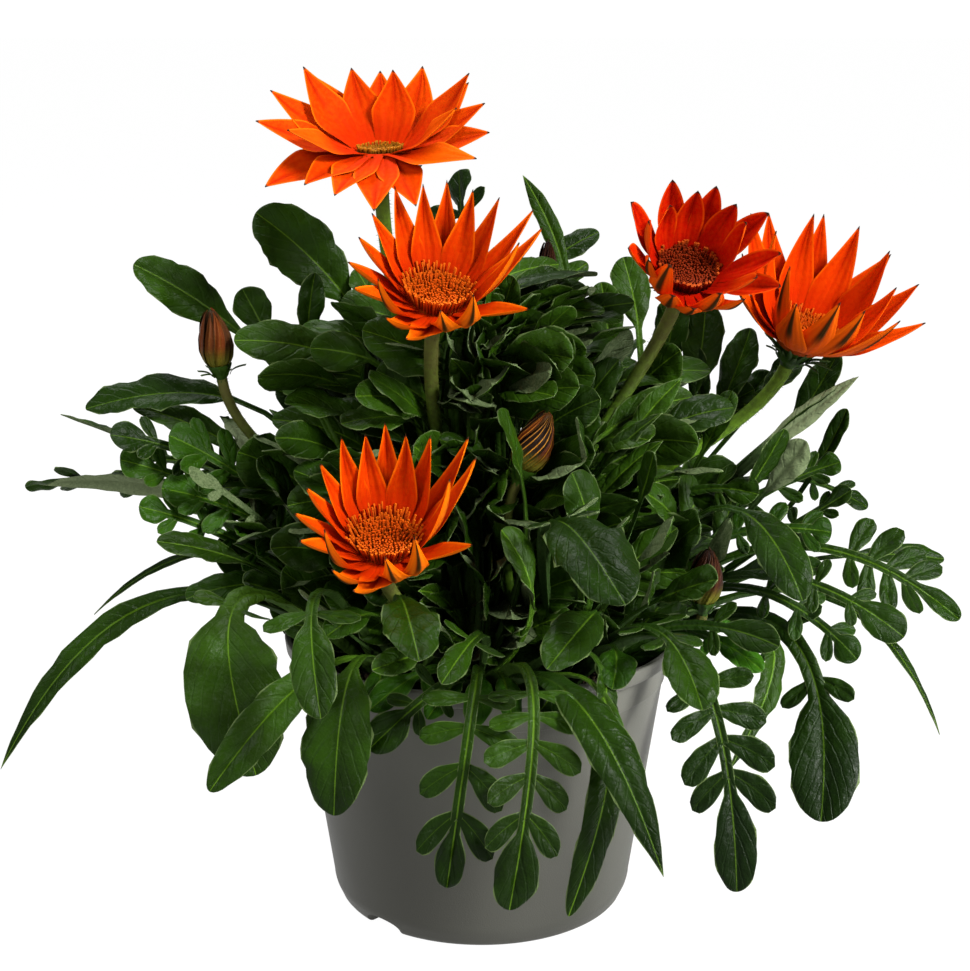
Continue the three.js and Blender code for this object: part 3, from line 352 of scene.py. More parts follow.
def seeded(seed):
    """Draws between 0 and 1, the same ones as the solids were placed with."""
    mask = 0xFFFFFFFF
    state = seed & mask
    while True:
        state = (state + 0x6D2B79F5) & mask
        mixed = (state ^ (state >> 15)) * (state | 1) & mask
        mixed ^= (mixed + ((mixed ^ (mixed >> 7)) * (mixed | 61) & mask)) & mask
        yield (mixed ^ (mixed >> 14)) / 4294967296


def unit(vector):
    """The vector or vectors, one long."""
    return vector / np.linalg.norm(vector, axis=-1, keepdims=True)


def smooth(value):
    """An eased step from 0 to 1."""
    value = np.clip(value, 0, 1)
    return value * value * (3 - 2 * value)


def bowed(root, control, tip, t):
    """Points on an easy curve from root to tip that starts out towards control."""
    return (1 - t) ** 2 * root + 2 * t * (1 - t) * control + t**2 * tip


def level_frame(along, level):
    """The directions across a blade that runs along, and out of its face."""
    side = unit(level - (along @ level)[..., None] * along)
    return side, np.cross(side, along)


def rolled(side, face, roll):
    """Both directions, rolled about the blade's own line."""
    return side * np.cos(roll) - face * np.sin(roll), face * np.cos(roll) + side * np.sin(roll)


# ---- skins -----------------------------------------------------------------
VALUES = ("rib", "edge", "along", "under", "tint", "young", "stem")


class Skin:
    """The closed patches of one piece, with the values that its finish reads."""

    def __init__(self):
        self.points = []
        self.faces = []
        self.values = {name: [] for name in VALUES}
        self.count = 0

    def add(self, rings, tip, **values):
        """Adds a run of rings, closed by a flat face at its root and a point at its tip.

        The second half of each ring is an underside; its faces are cut along the same
        diagonals as the upper side, so that a thin blade never shows through itself.
        """
        rows, around, _ = rings.shape
        grid = self.count + np.arange(rows * around).reshape(rows, around)
        turned = np.roll(grid, -1, axis=1)
        point = self.count + rows * around
        quads = np.stack([grid[:-1], turned[:-1], turned[1:], grid[1:]], axis=-1)
        half = around // 2
        quads[:, half:] = np.roll(quads[:, half:], -1, axis=-1)
        quads = quads.reshape(-1, 4)
        ends = np.stack([grid[-1], turned[-1], np.full(around, point)], axis=-1)
        self.faces += quads.tolist() + ends.tolist() + [grid[0][::-1].tolist()]
        self.points.append(rings.reshape(-1, 3))
        self.points.append(np.asarray(tip, dtype=float).reshape(1, 3))
        for name in VALUES:
            value = np.broadcast_to(values.get(name, 0.0), (rows, around))
            self.values[name].append(np.append(value.ravel(), value[-1].mean()))
        self.count = point + 1

    def piece(self, name, finish):
        """Makes the mesh object."""
        mesh = bpy.data.meshes.new(name)
        mesh.from_pydata((np.concatenate(self.points) * METRES).tolist(), [], self.faces)
        for value, parts in self.values.items():
            mesh.attributes.new(value, "FLOAT", "POINT").data.foreach_set("value", np.concatenate(parts))
        mesh.shade_smooth()
        mesh.set_sharp_from_angle(angle=math.radians(75))
        mesh.materials.append(finish)
        mesh.update()
        return placed(name, mesh)


def placed(name, mesh):
    """An object for a mesh, at the origin."""
    piece = bpy.data.objects.new(name, mesh)
    bpy.context.scene.collection.objects.link(piece)
    return piece


def applied(piece):
    """The mesh that a piece's modifiers make of it."""
    bpy.context.view_layer.update()
    evaluated = piece.evaluated_get(bpy.context.evaluated_depsgraph_get())
    return bpy.data.meshes.new_from_object(evaluated)


def dressed(piece, slot, *nodes):
    """Ties a finished piece to the part."""
    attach(piece, "root")
    if nodes:
        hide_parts(*nodes)


# ---- leaves ----------------------------------------------------------------
class Spine:
    """The midrib's curve: from the root through the shoulder to the tip."""

    def __init__(self, root, shoulder, tip, turn):
        root, shoulder, tip = (np.array(point, dtype=float) for point in (root, shoulder, tip))
        near = np.linalg.norm(shoulder - root)
        far = np.linalg.norm(tip - shoulder)
        bend = near / (near + far)
        control = (shoulder - (1 - bend) ** 2 * root - bend**2 * tip) / (2 * bend * (1 - bend))
        self.bend = bend
        self.knots = root, control, tip
        chord = (tip - root) * (1, 1, 0)
        self.level = unit(np.cross(chord, UP))
        self.turn = math.radians(turn) * (-1 if self.level[1] > 0 else 1)
        self.flip = 0.0
        self.flip = self.outward_flip()
        steps = self.at(np.linspace(0, 1, 60))
        self.length = np.linalg.norm(np.diff(steps, axis=0), axis=1).sum()

    def outward_flip(self):
        """Half a turn where the blade would show its underside to the front or the outside."""
        middle = np.array([(1 + self.bend) / 2])
        zero = np.zeros(1)
        place = self.bent(middle, zero, zero)[0]
        if place[1] > 25:
            return 0.0
        face = self.bent(middle, zero, zero + 1)[0] - place
        looking = 0.6 * unit(place * (1, 1, 0)) + (0, -1, 0.1)
        return math.pi if face @ looking < -0.1 else 0.0

    def at(self, t):
        """Points on the curve."""
        return bowed(*self.knots, np.asarray(t)[..., None])

    def bent(self, t, across, up):
        """Where a flat leaf's points come to lie."""
        root, control, tip = self.knots
        steps = np.asarray(t)[..., None]
        along = unit((1 - steps) * (control - root) + steps * (tip - control))
        roll = (self.flip + self.turn * np.minimum(1, t / self.bend))[..., None]
        side, face = rolled(*level_frame(along, self.level), roll)
        return self.at(t) + side * across[..., None] + face * up[..., None]


def spoon_width(share):
    """Obovate outline: narrow at its foot, broadest past the middle, blunt at the tip."""
    rise = np.sin(np.pi / 2 * np.clip(share / 0.6, 0, 1) ** 0.9)
    fall = np.sqrt(np.clip(1 - np.clip((share - 0.6) / 0.4, 0, 1) ** 2.2, 0, 1))
    return rise * fall


def strap_width(share):
    """Long even outline that runs out to a sharp tip."""
    return (0.6 + 0.4 * smooth(share / 0.3)) * (1 - np.clip((share - 0.45) / 0.55, 0, 1) ** 2)


def columns(count):
    """Places across a blade from -1 to 1, closer together at the midrib and the margins."""
    even = np.linspace(-1, 1, count)
    return np.sin(np.pi / 2 * np.sign(even) * np.abs(even) ** 1.35)


def towards_tip(start, end, count):
    """Places along a blade, closer together towards its rounded tip."""
    even = np.linspace(0, 1, count)
    return start + (end - start) * (1 - (1 - even) ** 1.8 * (1 - 0.0015 * even)) * 0.9995


def wrapped(upper, lower):
    """Rings over a strip's upper side and back along its underside."""
    return np.concatenate([upper, lower[:, -2:0:-1]], axis=1)


def both_sides(value):
    """A value on the upper side of a strip, carried round its underside."""
    return wrapped(value, value)


def facing_down(strip):
    """0 on a strip's upper side, 1 on its underside, and half at its margins."""
    upper = np.zeros_like(strip)
    upper[:, 0] = upper[:, -1] = 0.5
    return wrapped(upper, np.ones_like(strip))


def blade(skin, spine, along, half, line, thick, shape, values, stem=0.0, fine=True, faint=0.0):
    """A blade over a run of places along a leaf.

    half is the half width at each place, line the flat centre line and its direction,
    and thick what the stem adds to the blade.  shape holds the fold, the puffing of
    each half, the margin's waves with their pitch and phase, and any lift.  stem fades
    the finish into the stem's, and faint dims the midrib.
    """
    across = columns(13 if fine else 9)[None, :]
    centre_along, centre_across, heading = (np.asarray(v)[:, None] for v in line)
    half = half[:, None]
    body = thick[:, None]
    fold, puff, waves, pitch, phase, raised = shape
    side = np.sign(across)
    span = along[:, None] + 0 * across
    scallops = 0.04 * np.sin(span * 0.55 + phase + 2 * side) + 0.03 * np.sin(span * 1.2 + 2 * phase - side)
    local = across * half * (1 + scallops * smooth(half / 4))
    flat_along = centre_along - local * np.sin(heading)
    flat_across = centre_across + local * np.cos(heading)
    outwards = np.abs(across)
    channel = fold * outwards + puff * np.sin(np.pi * outwards) - 0.1 * across**4
    ruffle = waves * across**2 * np.sin(span * pitch + phase + 1.7 * side)
    ruffle = ruffle + 0.45 * waves * outwards**3 * np.sin(span * pitch * 2.7 + phase * 2 + 2.6 * side)
    blister = 0.6 * puff * np.sin(span * 0.9 + phase * 3 + 2 * outwards) * np.sin(np.pi * outwards)
    groove = 0.2 * smooth(half / 3) * np.exp(-((local / 0.6) ** 2))
    top = half * (channel + ruffle) + np.minimum(half, 5) * blister - groove + np.asarray(raised)
    edge = np.clip(1 - across**2, 0, 1) ** 0.35
    keel = 0.9 * (0.3 + body) * np.exp(-((local / 0.8) ** 2)) * np.minimum(1, half / 2)
    under = top - (LEAF_THICKNESS + body) * edge - keel * edge
    t = np.clip(flat_along / spine.length, 0, 1)
    rings = wrapped(spine.bent(t, flat_across, top), spine.bent(t, flat_across, under))
    share = np.linspace(0, 1, len(along))[:, None]
    skin.add(
        rings,
        rings[-1].mean(axis=0),
        rib=both_sides(np.abs(local) * (0.75 + 2.4 * share**1.5) + faint),
        edge=both_sides(half - np.abs(local)),
        along=both_sides(span),
        under=facing_down(local),
        stem=both_sides(np.asarray(stem)[..., None] + 0 * local),
        **values,
    )


def blade_shape(draw):
    """Fold, puffing, waves with their pitch and phase, and no lift."""
    ranges = ((0.04, 0.24), (0.05, 0.11), (0.05, 0.15), (0.2, 0.2), (0.0, 6.3))
    return *(least + more * next(draw) for least, more in ranges), 0.0


def straight(along):
    """The centre line of a blade that follows its midrib."""
    return along, np.zeros_like(along), np.zeros_like(along)


def simple_leaf(skin, spine, kind, width, draw, values, fine=True):
    """A whole leaf with an unlobed blade."""
    length = spine.length
    shoulder = spine.bend * length
    petiole = 0.5 * max(PETIOLE_WIDTH, width * 0.17)
    petiole_run = np.linspace(0, shoulder, 9 if fine else 7)[:-1]
    along = np.concatenate([petiole_run, towards_tip(shoulder, length, 20 if fine else 13)])
    share = np.clip((along - shoulder) / (length - shoulder), 0, 1)
    if kind == "strap":
        opening = petiole + (width * 0.3 - petiole) * smooth(along / shoulder)
        outline = np.maximum(width / 2 * strap_width(share), 0)
        half = np.where(along < shoulder, opening, outline)
    else:
        outline = np.maximum(petiole * (1 - share**3), width / 2 * spoon_width(share))
        half = np.where(along < shoulder, petiole, outline)
    thick = PETIOLE_THICKNESS * (1 - smooth(along / shoulder))
    stem = 1 - smooth(share * 6)
    blade(skin, spine, along, half, straight(along), thick, blade_shape(draw), values, stem, fine)


def lobed_leaf(skin, spine, width, lobes, draw, values):
    """A leaf cut to the rib: a winged midrib that ends in a blade, and pairs of lobes."""
    pairs, first, last, lobe_length = lobes
    length = spine.length
    shoulder = length * spine.bend

    def place(share):
        return shoulder + (length - shoulder) * share

    rib = max(MIDRIB, width * 0.27) / 2
    reach = 0
    for pair in range(pairs):
        share = pair / (pairs - 1) if pairs > 1 else 0.5
        size = lobe_length * (0.78 + 0.22 * math.sin(math.pi * (0.25 + 0.6 * share)))
        spread = math.radians(80 - 24 * share)
        start = place(first + (last - first) * share)
        reach = start + 0.26 * size
        for side in (-1, 1):
            grown = size * (0.96 + 0.14 * next(draw))
            lobe(skin, spine, start + 0.13 * size, side, rib, grown, spread, draw, values)
    opens = min(reach + 1, place(0.84))
    along = np.concatenate([np.linspace(0, opens, 20)[:-1], towards_tip(opens, length, 18)])
    share = np.clip((along - opens) / (length - opens), 0, 1)
    outline = np.maximum(rib * (1 - share**3), width / 2 * spoon_width(share))
    petiole = PETIOLE_WIDTH / 2
    half = np.where(along < shoulder, petiole + (rib - petiole) * smooth(along / shoulder), outline)
    thick = PETIOLE_THICKNESS * (1 - smooth(along / max(opens, 1)))
    stem = 1 - smooth((along - shoulder) / 14)
    blade(skin, spine, along, half, straight(along), thick, blade_shape(draw), values, stem)


def lobe(skin, spine, start, side, rib, size, spread, draw, values):
    """One paddle-shaped lobe beside the midrib."""
    share = np.linspace(0, 1, 15)
    heading = side * (spread * (1 - 0.18 * share) + 0.2 * (next(draw) - 0.5))
    step = size / 14
    centre_along = start + np.append(0, np.cumsum(np.cos(heading[:-1]) * step))
    centre_across = side * rib * 0.4 + np.append(0, np.cumsum(np.sin(heading[:-1]) * step))
    body = 0.4 + 0.6 * np.sin(np.pi / 2 * np.clip(share / 0.6, 0, 1) ** 1.2)
    blunt = np.sqrt(np.clip(1 - np.clip((share - 0.6) / 0.4, 0, 1) ** 2.3, 0.0009, 1))
    half = size * LOBE_WIDTH / 2 * body * blunt
    tilt = 0.55 * (next(draw) - 0.35)
    shape = (0.1, 0.12, 0.05, 0.5, 6.3 * next(draw), (tilt * size * share**1.5)[:, None])
    line = (centre_along, centre_across, heading)
    blade(skin, spine, share * size, half, line, np.zeros(15), shape, values, 0.0, False, 0.36)


def leaf(skin, crown, row, draw, young=0.0, fine=True):
    """One leaf of a rosette, on the same spine as its solid."""
    kind, shoulder, tip, width, turn = row[:5]
    outward = unit(np.array(shoulder, dtype=float) - (crown[0], crown[1], SOIL_LEVEL))
    root = np.array((crown[0], crown[1], ROOT_LEVEL)) + CROWN_ROOTS * outward
    spine = Spine(root, shoulder, tip, turn)
    # Painted shade: the tint of leaves that reach out to the plant's right is brought down.
    painted_right_shade = 1 - 0.85 * smooth((tip[0] - RIGHT_SHADE_FROM) / RIGHT_SHADE_RUN)
    values = dict(tint=next(draw) * painted_right_shade, young=young)
    if kind == "lobed":
        lobed_leaf(skin, spine, width, row[5], draw, values)
    else:
        simple_leaf(skin, spine, kind, width, draw, values, fine)


def filler_rows(crowns):
    """Smaller leaves that close the plant between the large ones, over its whole height."""
    random = seeded(77)
    shown = shown_places()
    rows = {name: [] for name in crowns}
    for i in range(FILLERS):
        angle = i * GOLDEN_ANGLE + 0.5 * next(random)
        height = FILLER_LOWEST + FILLER_RISE * ((i + 0.5) / FILLERS) ** 1.15
        front = max(0, -math.sin(angle))
        side_reach = np.interp(height, FILLER_HEIGHTS, FILLER_SIDE)
        front_reach = np.interp(height, FILLER_HEIGHTS, FILLER_FRONT)
        reach = (side_reach * (1 - front) + front_reach * front) * (0.6 + 0.4 * next(random) ** 0.6)
        blade_length = 19 + 16 * next(random)
        climb = 2 + 16 * next(random)
        sway = 0.5 * (next(random) - 0.5)
        near = max(8, reach - math.sqrt(max(blade_length**2 - climb**2, 16)))
        shoulder = (near * math.cos(angle), near * math.sin(angle), height - climb)
        tip = (reach * math.cos(angle + sway), reach * math.sin(angle + sway), height)
        width = 9 + 11 * next(random)
        turn = 150 * (next(random) - 0.35)
        kind, slim = ("strap", 0.6) if i % 9 == 4 else ("spoon", 1)
        if not hides(shown, shoulder, tip):
            rows[facing_crown(crowns, angle)].append((kind, shoulder, tip, width * slim, turn))
    return rows


def shown_places():
    """Points of the blooms, buds and their stalks, with the clear space round each."""
    places = []
    for bloom in BLOOMS:
        head = Head(bloom["centre"], bloom["axis"])
        places.append((head.at(0, 0, 12), BLOOM_CLEAR))
        path = stalk_path(bloom["foot"], head.at(0, 0, -12), head.up)
        places += [(path[i], STALK_CLEAR) for i in range(len(path) * 2 // 3, len(path))]
    for bud in BUDS[:1] + BUDS[2:]:
        head = Head(bud["centre"], bud["axis"])
        places.append((head.at(0, 0, bud["size"][1] / 2), BUD_CLEAR))
        places.append((head.at(0, 0, -6), STALK_CLEAR))
    return places


def hides(shown, shoulder, tip):
    """Whether a blade stands before a place that is to stay in sight from the front."""
    for share in (0.15, 0.5, 0.85, 1.0):
        point = np.array(shoulder) * (1 - share) + np.array(tip) * share
        for place, clear in shown:
            level = point[2] - place[2] - 0.25 * (place[1] - point[1])
            if point[1] < place[1] + 6 and math.hypot(point[0] - place[0], level) < clear:
                return True
    return False


def facing_crown(crowns, angle):
    """The crown that stands furthest towards an angle."""

    def facing(name):
        x, y = crowns[name]
        return (x * math.cos(angle) + y * math.sin(angle)) / math.hypot(x, y)

    return max(crowns, key=facing)


def tier_leaves(crowns):
    """The leaves that stand by a rule, as rows for the crown nearest to each."""
    random = seeded(41)
    rows = {name: [] for name in crowns}
    for tier in TIERS:
        low, high = tier["arc"]
        for i in range(tier["count"]):
            even = low + (high - low) * (i + 0.5) / tier["count"]
            angle = math.radians(even + 6 * (next(random) - 0.5))
            sway = math.radians(6 * (next(random) - 0.5))
            reach = 0.94 + 0.1 * next(random)
            rise = 0.95 + 0.1 * next(random)
            kind = tier["kinds"][i % len(tier["kinds"])]
            out, height = tier["shoulder"]
            far, top = tier["tip"]
            shoulder = (out * math.cos(angle), out * math.sin(angle), height * rise)
            turned = angle + sway
            tip = (far * reach * math.cos(turned), far * reach * math.sin(turned), top * rise)
            width = tier["width"] * (0.7 if kind == "strap" else 1)
            rows[facing_crown(crowns, angle)].append((kind, shoulder, tip, width, 12, TIER_LOBES))
    return rows


def crown_heart(skin, crown):
    """The short plug that a rosette's leaves grow from."""
    profile = [
        (CROWN_RADIUS, SOIL_LEVEL - HOLE_DEPTH),
        (CROWN_RADIUS, SOIL_LEVEL + 1),
        (CROWN_RADIUS * 0.85, SOIL_LEVEL + 4),
        (CROWN_RADIUS * 0.5, CROWN_TOP),
    ]
    x, y = crown
    angles = np.linspace(0, 2 * np.pi, 24, endpoint=False)
    rings = [[(x + r * math.cos(a), y + r * math.sin(a), z) for a in angles] for r, z in profile]
    skin.add(np.array(rings), (x, y, CROWN_TOP + 1), rib=0.6, edge=0.6, tint=0.3, young=0.4)


def grow_rosettes(finish):
    """Every rosette, one piece for each crown, and the leaves that close them inside."""
    outer = {name: crown for name, crown in CROWNS.items() if name != "centre"}
    tiers = tier_leaves(outer)
    fillers = filler_rows(outer)
    for number, (name, crown) in enumerate(CROWNS.items()):
        draw = seeded(500 + number)
        skin = Skin()
        crown_heart(skin, crown)
        for row in LEAVES.get(name, []) + tiers.get(name, []):
            leaf(skin, crown, row, draw)
        dressed(skin.piece("leaves_" + name + "_fine", finish), "leaf", "leaves_" + name)
        if name in outer:
            skin = Skin()
            for row in EXTRA.get(name, []):
                leaf(skin, crown, row[0], draw, row[1])
            for row in fillers[name]:
                leaf(skin, crown, row, draw, fine=False)
            dressed(skin.piece("leaves_" + name + "_inner", finish), "leaf")


# ---- heads -----------------------------------------------------------------
class Head:
    """A head's own frame: up looks out of the flower, front leans to the plant's front."""

    def __init__(self, centre, axis):
        self.origin = np.array(centre, dtype=float)
        self.up = unit(np.array(axis, dtype=float))
        front = np.array((0.0, -1.0, 0.0))
        self.front = unit(front - front @ self.up * self.up)
        self.across = np.cross(self.up, self.front)

    def out(self, angle):
        """The direction out from the axis, at an angle from the front."""
        angle = np.asarray(angle)[..., None]
        return self.front * np.cos(angle) + self.across * np.sin(angle)

    def at(self, angle, radius, height):
        """The points at an angle from the front, a radius out and a height up."""
        radius, height = (np.asarray(v, dtype=float)[..., None] for v in (radius, height))
        return self.origin + self.out(angle) * radius + self.up * height

    def rings(self, profile, count, ribs=0, depth=0.0):
        """Rings of points round the head's axis through (radius, height) points."""
        angles = np.linspace(0, 2 * np.pi, count, endpoint=False)
        wavy = 1 + depth * np.cos(angles * ribs)
        return np.array([self.at(angles, radius * wavy, np.full(count, up)) for radius, up in profile])

    def matrix(self):
        """The frame as a matrix in metres."""
        axes = Matrix([self.front, self.across, self.up]).transposed().to_4x4()
        return Matrix.Translation(self.origin * METRES) @ axes


def grow_rays(bloom, finish, slot):
    """The rays of one bloom, each a channelled blade with a sharp tip."""
    head = Head(bloom["centre"], bloom["axis"])
    draw = seeded(900 + len(bloom["rays"]))
    skin = Skin()
    step = 2 * math.pi / len(bloom["rays"])
    for i, row in enumerate(bloom["rays"]):
        ray(skin, head, bloom, i * step, row, RAY_TWIST * math.sin(5 * i), next(draw))
    dressed(skin.piece(bloom["name"] + "_rays_fine", finish), slot, bloom["name"] + "_rays")


def ray_half_width(bloom, share):
    """Half a ray's width along it: broadest at its belly, then run out to a sharp tip."""
    foot = bloom["foot_width"] + (1 - bloom["foot_width"]) * smooth(share / bloom["belly"])
    past = np.clip((share - bloom["belly"]) / (1 - bloom["belly"]), 0, 1)
    runs_out = (1 - past ** (1.15 / bloom["point"])) ** bloom["point"]
    return bloom["width"] / 2 * foot * runs_out + 0.04


def ray(skin, head, bloom, angle, row, twist, tint):
    """One ray: a channelled blade that runs out to a sharp tip."""
    turn, lift, length = row
    turn = math.radians(turn)
    rise = math.radians(lift - bloom["spread"])
    reach = length * bloom["size"]
    heading = (angle + turn) / 2
    out = head.out(heading)
    base = head.at(angle, RECEPTACLE - 2, RAY_ROOT + 0.2)
    bow = head.at(angle, RECEPTACLE, RAY_ROOT)
    front = 0.5 + 0.5 * math.cos(heading)
    start = rise * (0.65 - bloom["sag"] * smooth((front - 0.8) / 0.15))
    bow = bow + 0.5 * reach * (out * math.cos(start) + head.up * math.sin(start))
    tip = head.at(turn, RECEPTACLE + reach * math.cos(rise), RAY_ROOT + reach * math.sin(rise))
    share = 0.998 * (1 - (1 - np.linspace(0, 1, 28)) ** 1.25)
    t = share[:, None]
    centre = bowed(base, bow, tip, t)
    along = unit(2 * (1 - t) * (bow - base) + 2 * t * (tip - bow))
    side, face = level_frame(along, np.cross(out, head.up))
    side, face = rolled(side, face, twist * t - bloom["facing"] * side[:, 1:2] * smooth(t / 0.5))
    half = ray_half_width(bloom, share)[:, None]
    across = columns(13)[None, :]
    local = across * half
    fold = 0.12 + bloom["fold"] * t**1.2
    pleat = 0.1 * np.cos(across * np.pi * 3) * np.minimum(1, half / 2)
    raised = fold * np.abs(local) * (1 - 0.15 * np.abs(across)) + pleat
    thick = RAY_THICKNESS * np.clip(1 - across**2, 0, 1) ** 0.4 * (1.3 - t * 0.7)

    flat = centre[:, None] + side[:, None] * local[..., None]

    def lifted(up):
        return flat + face[:, None] * up[..., None]

    skin.add(
        wrapped(lifted(raised), lifted(raised - thick)),
        tip,
        rib=both_sides(np.abs(across) + 0 * local),
        edge=both_sides(half - np.abs(local)),
        along=both_sides(t + 0 * local),
        under=facing_down(local),
        tint=tint,
        young=front if rise > 0 else 0.3 * front,
    )


def grow_involucre(head, radius, height, finish, name, teeth):
    """The green cup under a head and the pointed bracts round its rim."""
    skin = Skin()
    profile = [
        (0.98 * STALK_RADIUS if radius > 6 else BUD_STALK_RADIUS, -height),
        (radius * 0.4, -height * 0.84),
        (radius * 0.62, -height * 0.58),
        (radius * 0.82, -height * 0.28),
        (radius * 0.95, -height * 0.06),
        (radius * 0.96, 0.0),
    ]
    rings = head.rings(profile, 48, teeth, 0.05)
    skin.add(rings, head.at(0, 0, 0.0), rib=1.2, edge=2.0, along=0.4, tint=0.5, young=0.3)
    draw = seeded(len(name) * 31 + teeth)
    for i in range(teeth):
        bract(skin, head, (i + 0.5 * (next(draw) - 0.5)) * 2 * math.pi / teeth, radius, height, draw)
    dressed(skin.piece(name + "_cup", finish), "stalk", name)


def bract(skin, head, angle, radius, height, draw):
    """One slender pointed bract that rises from the cup and leans out of it."""
    length = height * (0.55 + 0.55 * next(draw) ** 2)
    lean = 0.2 + 1.0 * next(draw) ** 2
    share = np.linspace(0, 0.98, 9)
    out = radius * (0.7 + 0.26 * share) + length * lean * share**2
    rise = -height * 0.62 + length * (share * 0.98 - 0.4 * lean * share**2)
    half = radius * 0.14 * (1 - share**1.5) + 0.05
    across = np.linspace(-1, 1, 5)
    rings = []
    for r, z, h in zip(out, rise, half):
        sweep = angle + across * h / max(r, 1)
        upper = head.at(sweep, r + 0.35 + 0 * across, z + 0.25 * np.abs(across))
        lower = head.at(sweep[-2:0:-1], np.full(3, r), np.full(3, z - 0.35))
        rings.append(np.concatenate([upper, lower]))
    rings = np.array(rings)[:, ::-1]
    tip = head.at(angle, out[-1] + 0.2, rise[-1])
    skin.add(rings, tip, rib=1.0, edge=0.8, along=share[:, None] * 4, tint=next(draw), young=0.5)


def grow_bud(bud, finish):
    """A furled bud: a core wrapped in overlapping pointed rays."""
    head = Head(bud["centre"], bud["axis"])
    radius, height = bud["size"]
    draw = seeded(len(bud["name"]) * 7)
    skin = Skin()
    core = [(bud_radius(level) * radius * 0.8, height * level) for level in np.linspace(0, 0.9, 10)]
    skin.add(head.rings(core, 24), head.at(0, 0, height * 0.94), rib=1.0, along=0.5, edge=0.1, tint=0.5)
    across = np.linspace(-1, 1, 9)
    for i in range(BUD_WRAPS):
        top = 0.9 + 0.1 * next(draw)
        stray = 0.12 * next(draw) ** 2
        level = np.linspace(0, 0.99, 22)
        reach = 0.46 * (1 - level**5) + 0.02
        rings = []
        for u, wide in zip(level, reach):
            sweep = 2 * math.pi * i / BUD_WRAPS + bud["twist"] * 2.4 * u + across * wide
            lap = 0.92 + 0.1 * across + 0.06 * (1 - across**2) + stray * u**4 * 6
            out = radius * bud_radius(u * top) * lap
            up = np.full(9, height * top * u)
            outer = head.at(sweep, out, up)
            inner = head.at(sweep[-2:0:-1], out[-2:0:-1] - 0.5, up[-2:0:-1])
            rings.append(np.concatenate([outer, inner]))
        rings = np.array(rings)[:, ::-1]
        value = np.concatenate([across, across[-2:0:-1]])[::-1][None, :]
        skin.add(
            rings,
            rings[-1].mean(axis=0),
            rib=value,
            along=level[:, None],
            edge=1 - np.abs(value),
            tint=next(draw),
        )
    dressed(skin.piece(bud["name"] + "_petals_fine", finish), "bud", bud["name"] + "_petals")


def bud_radius(level):
    """A furled bud's outline, as a share of its radius."""
    levels = (0, 0.1, 0.28, 0.5, 0.72, 0.88, 1)
    return np.interp(level, levels, (0.66, 0.86, 1.0, 0.92, 0.64, 0.34, 0.06))


# ---- nodes -----------------------------------------------------------------
class Value:
    """A socket that Python arithmetic turns into Math nodes."""

    def __init__(self, nodes, socket):
        self.nodes = nodes
        self.socket = socket

    def maths(self, operation, first, second=0.0):
        return self.nodes.value("ShaderNodeMath", {"operation": operation}, _0=first, _1=second)

    def __add__(self, other):
        return self.maths("ADD", self, other)

    def __mul__(self, other):
        return self.maths("MULTIPLY", self, other)

    def __truediv__(self, other):
        return self.maths("DIVIDE", self, other)

    def __sub__(self, other):
        return self.maths("SUBTRACT", self, other)

    def __rsub__(self, other):
        return self.maths("SUBTRACT", other, self)

    __radd__ = __add__
    __rmul__ = __mul__

    def root(self):
        return self.maths("SQRT", self)

    def sine(self):
        return self.maths("SINE", self)

    def cosine(self):
        return self.maths("COSINE", self)

    def above(self, level):
        return self.maths("GREATER_THAN", self, level)

    def between(self, low, high):
        """0 below low, 1 above high, eased between; the other way round where low is higher."""
        start, end = (0.0, 1.0) if low < high else (1.0, 0.0)
        return self.nodes.value("ShaderNodeMapRange", {"interpolation_type": "SMOOTHSTEP"}, Value=self,
                                From_Min=min(low, high), From_Max=max(low, high), To_Min=start, To_Max=end)


class Nodes:
    """A node tree whose nodes are all added by one method."""

    def __init__(self, tree):
        self.tree = tree

    def feed(self, socket, value):
        """Links a socket to a value, or sets it."""
        if isinstance(value, Value):
            value = value.socket
        if isinstance(value, bpy.types.Node):
            value = value.outputs[0]
        if isinstance(value, bpy.types.NodeSocket):
            self.tree.links.new(value, socket)
        elif socket.type == "RGBA" and len(value) == 3:
            socket.default_value = (*value, 1)
        else:
            socket.default_value = value

    def node(self, kind, settings=None, **inputs):
        """Adds a node: its settings first, then its sockets by name or number."""
        node = self.tree.nodes.new(kind)
        for key, value in (settings or {}).items():
            setattr(node, key, value)
        for key, value in inputs.items():
            self.feed(node.inputs[int(key[1:]) if key[0] == "_" else key.replace("_", " ")], value)
        return node

    def value(self, kind, settings=None, output=0, **inputs):
        """Adds a node and gives one of its outputs."""
        return Value(self, self.node(kind, settings, **inputs).outputs[output])


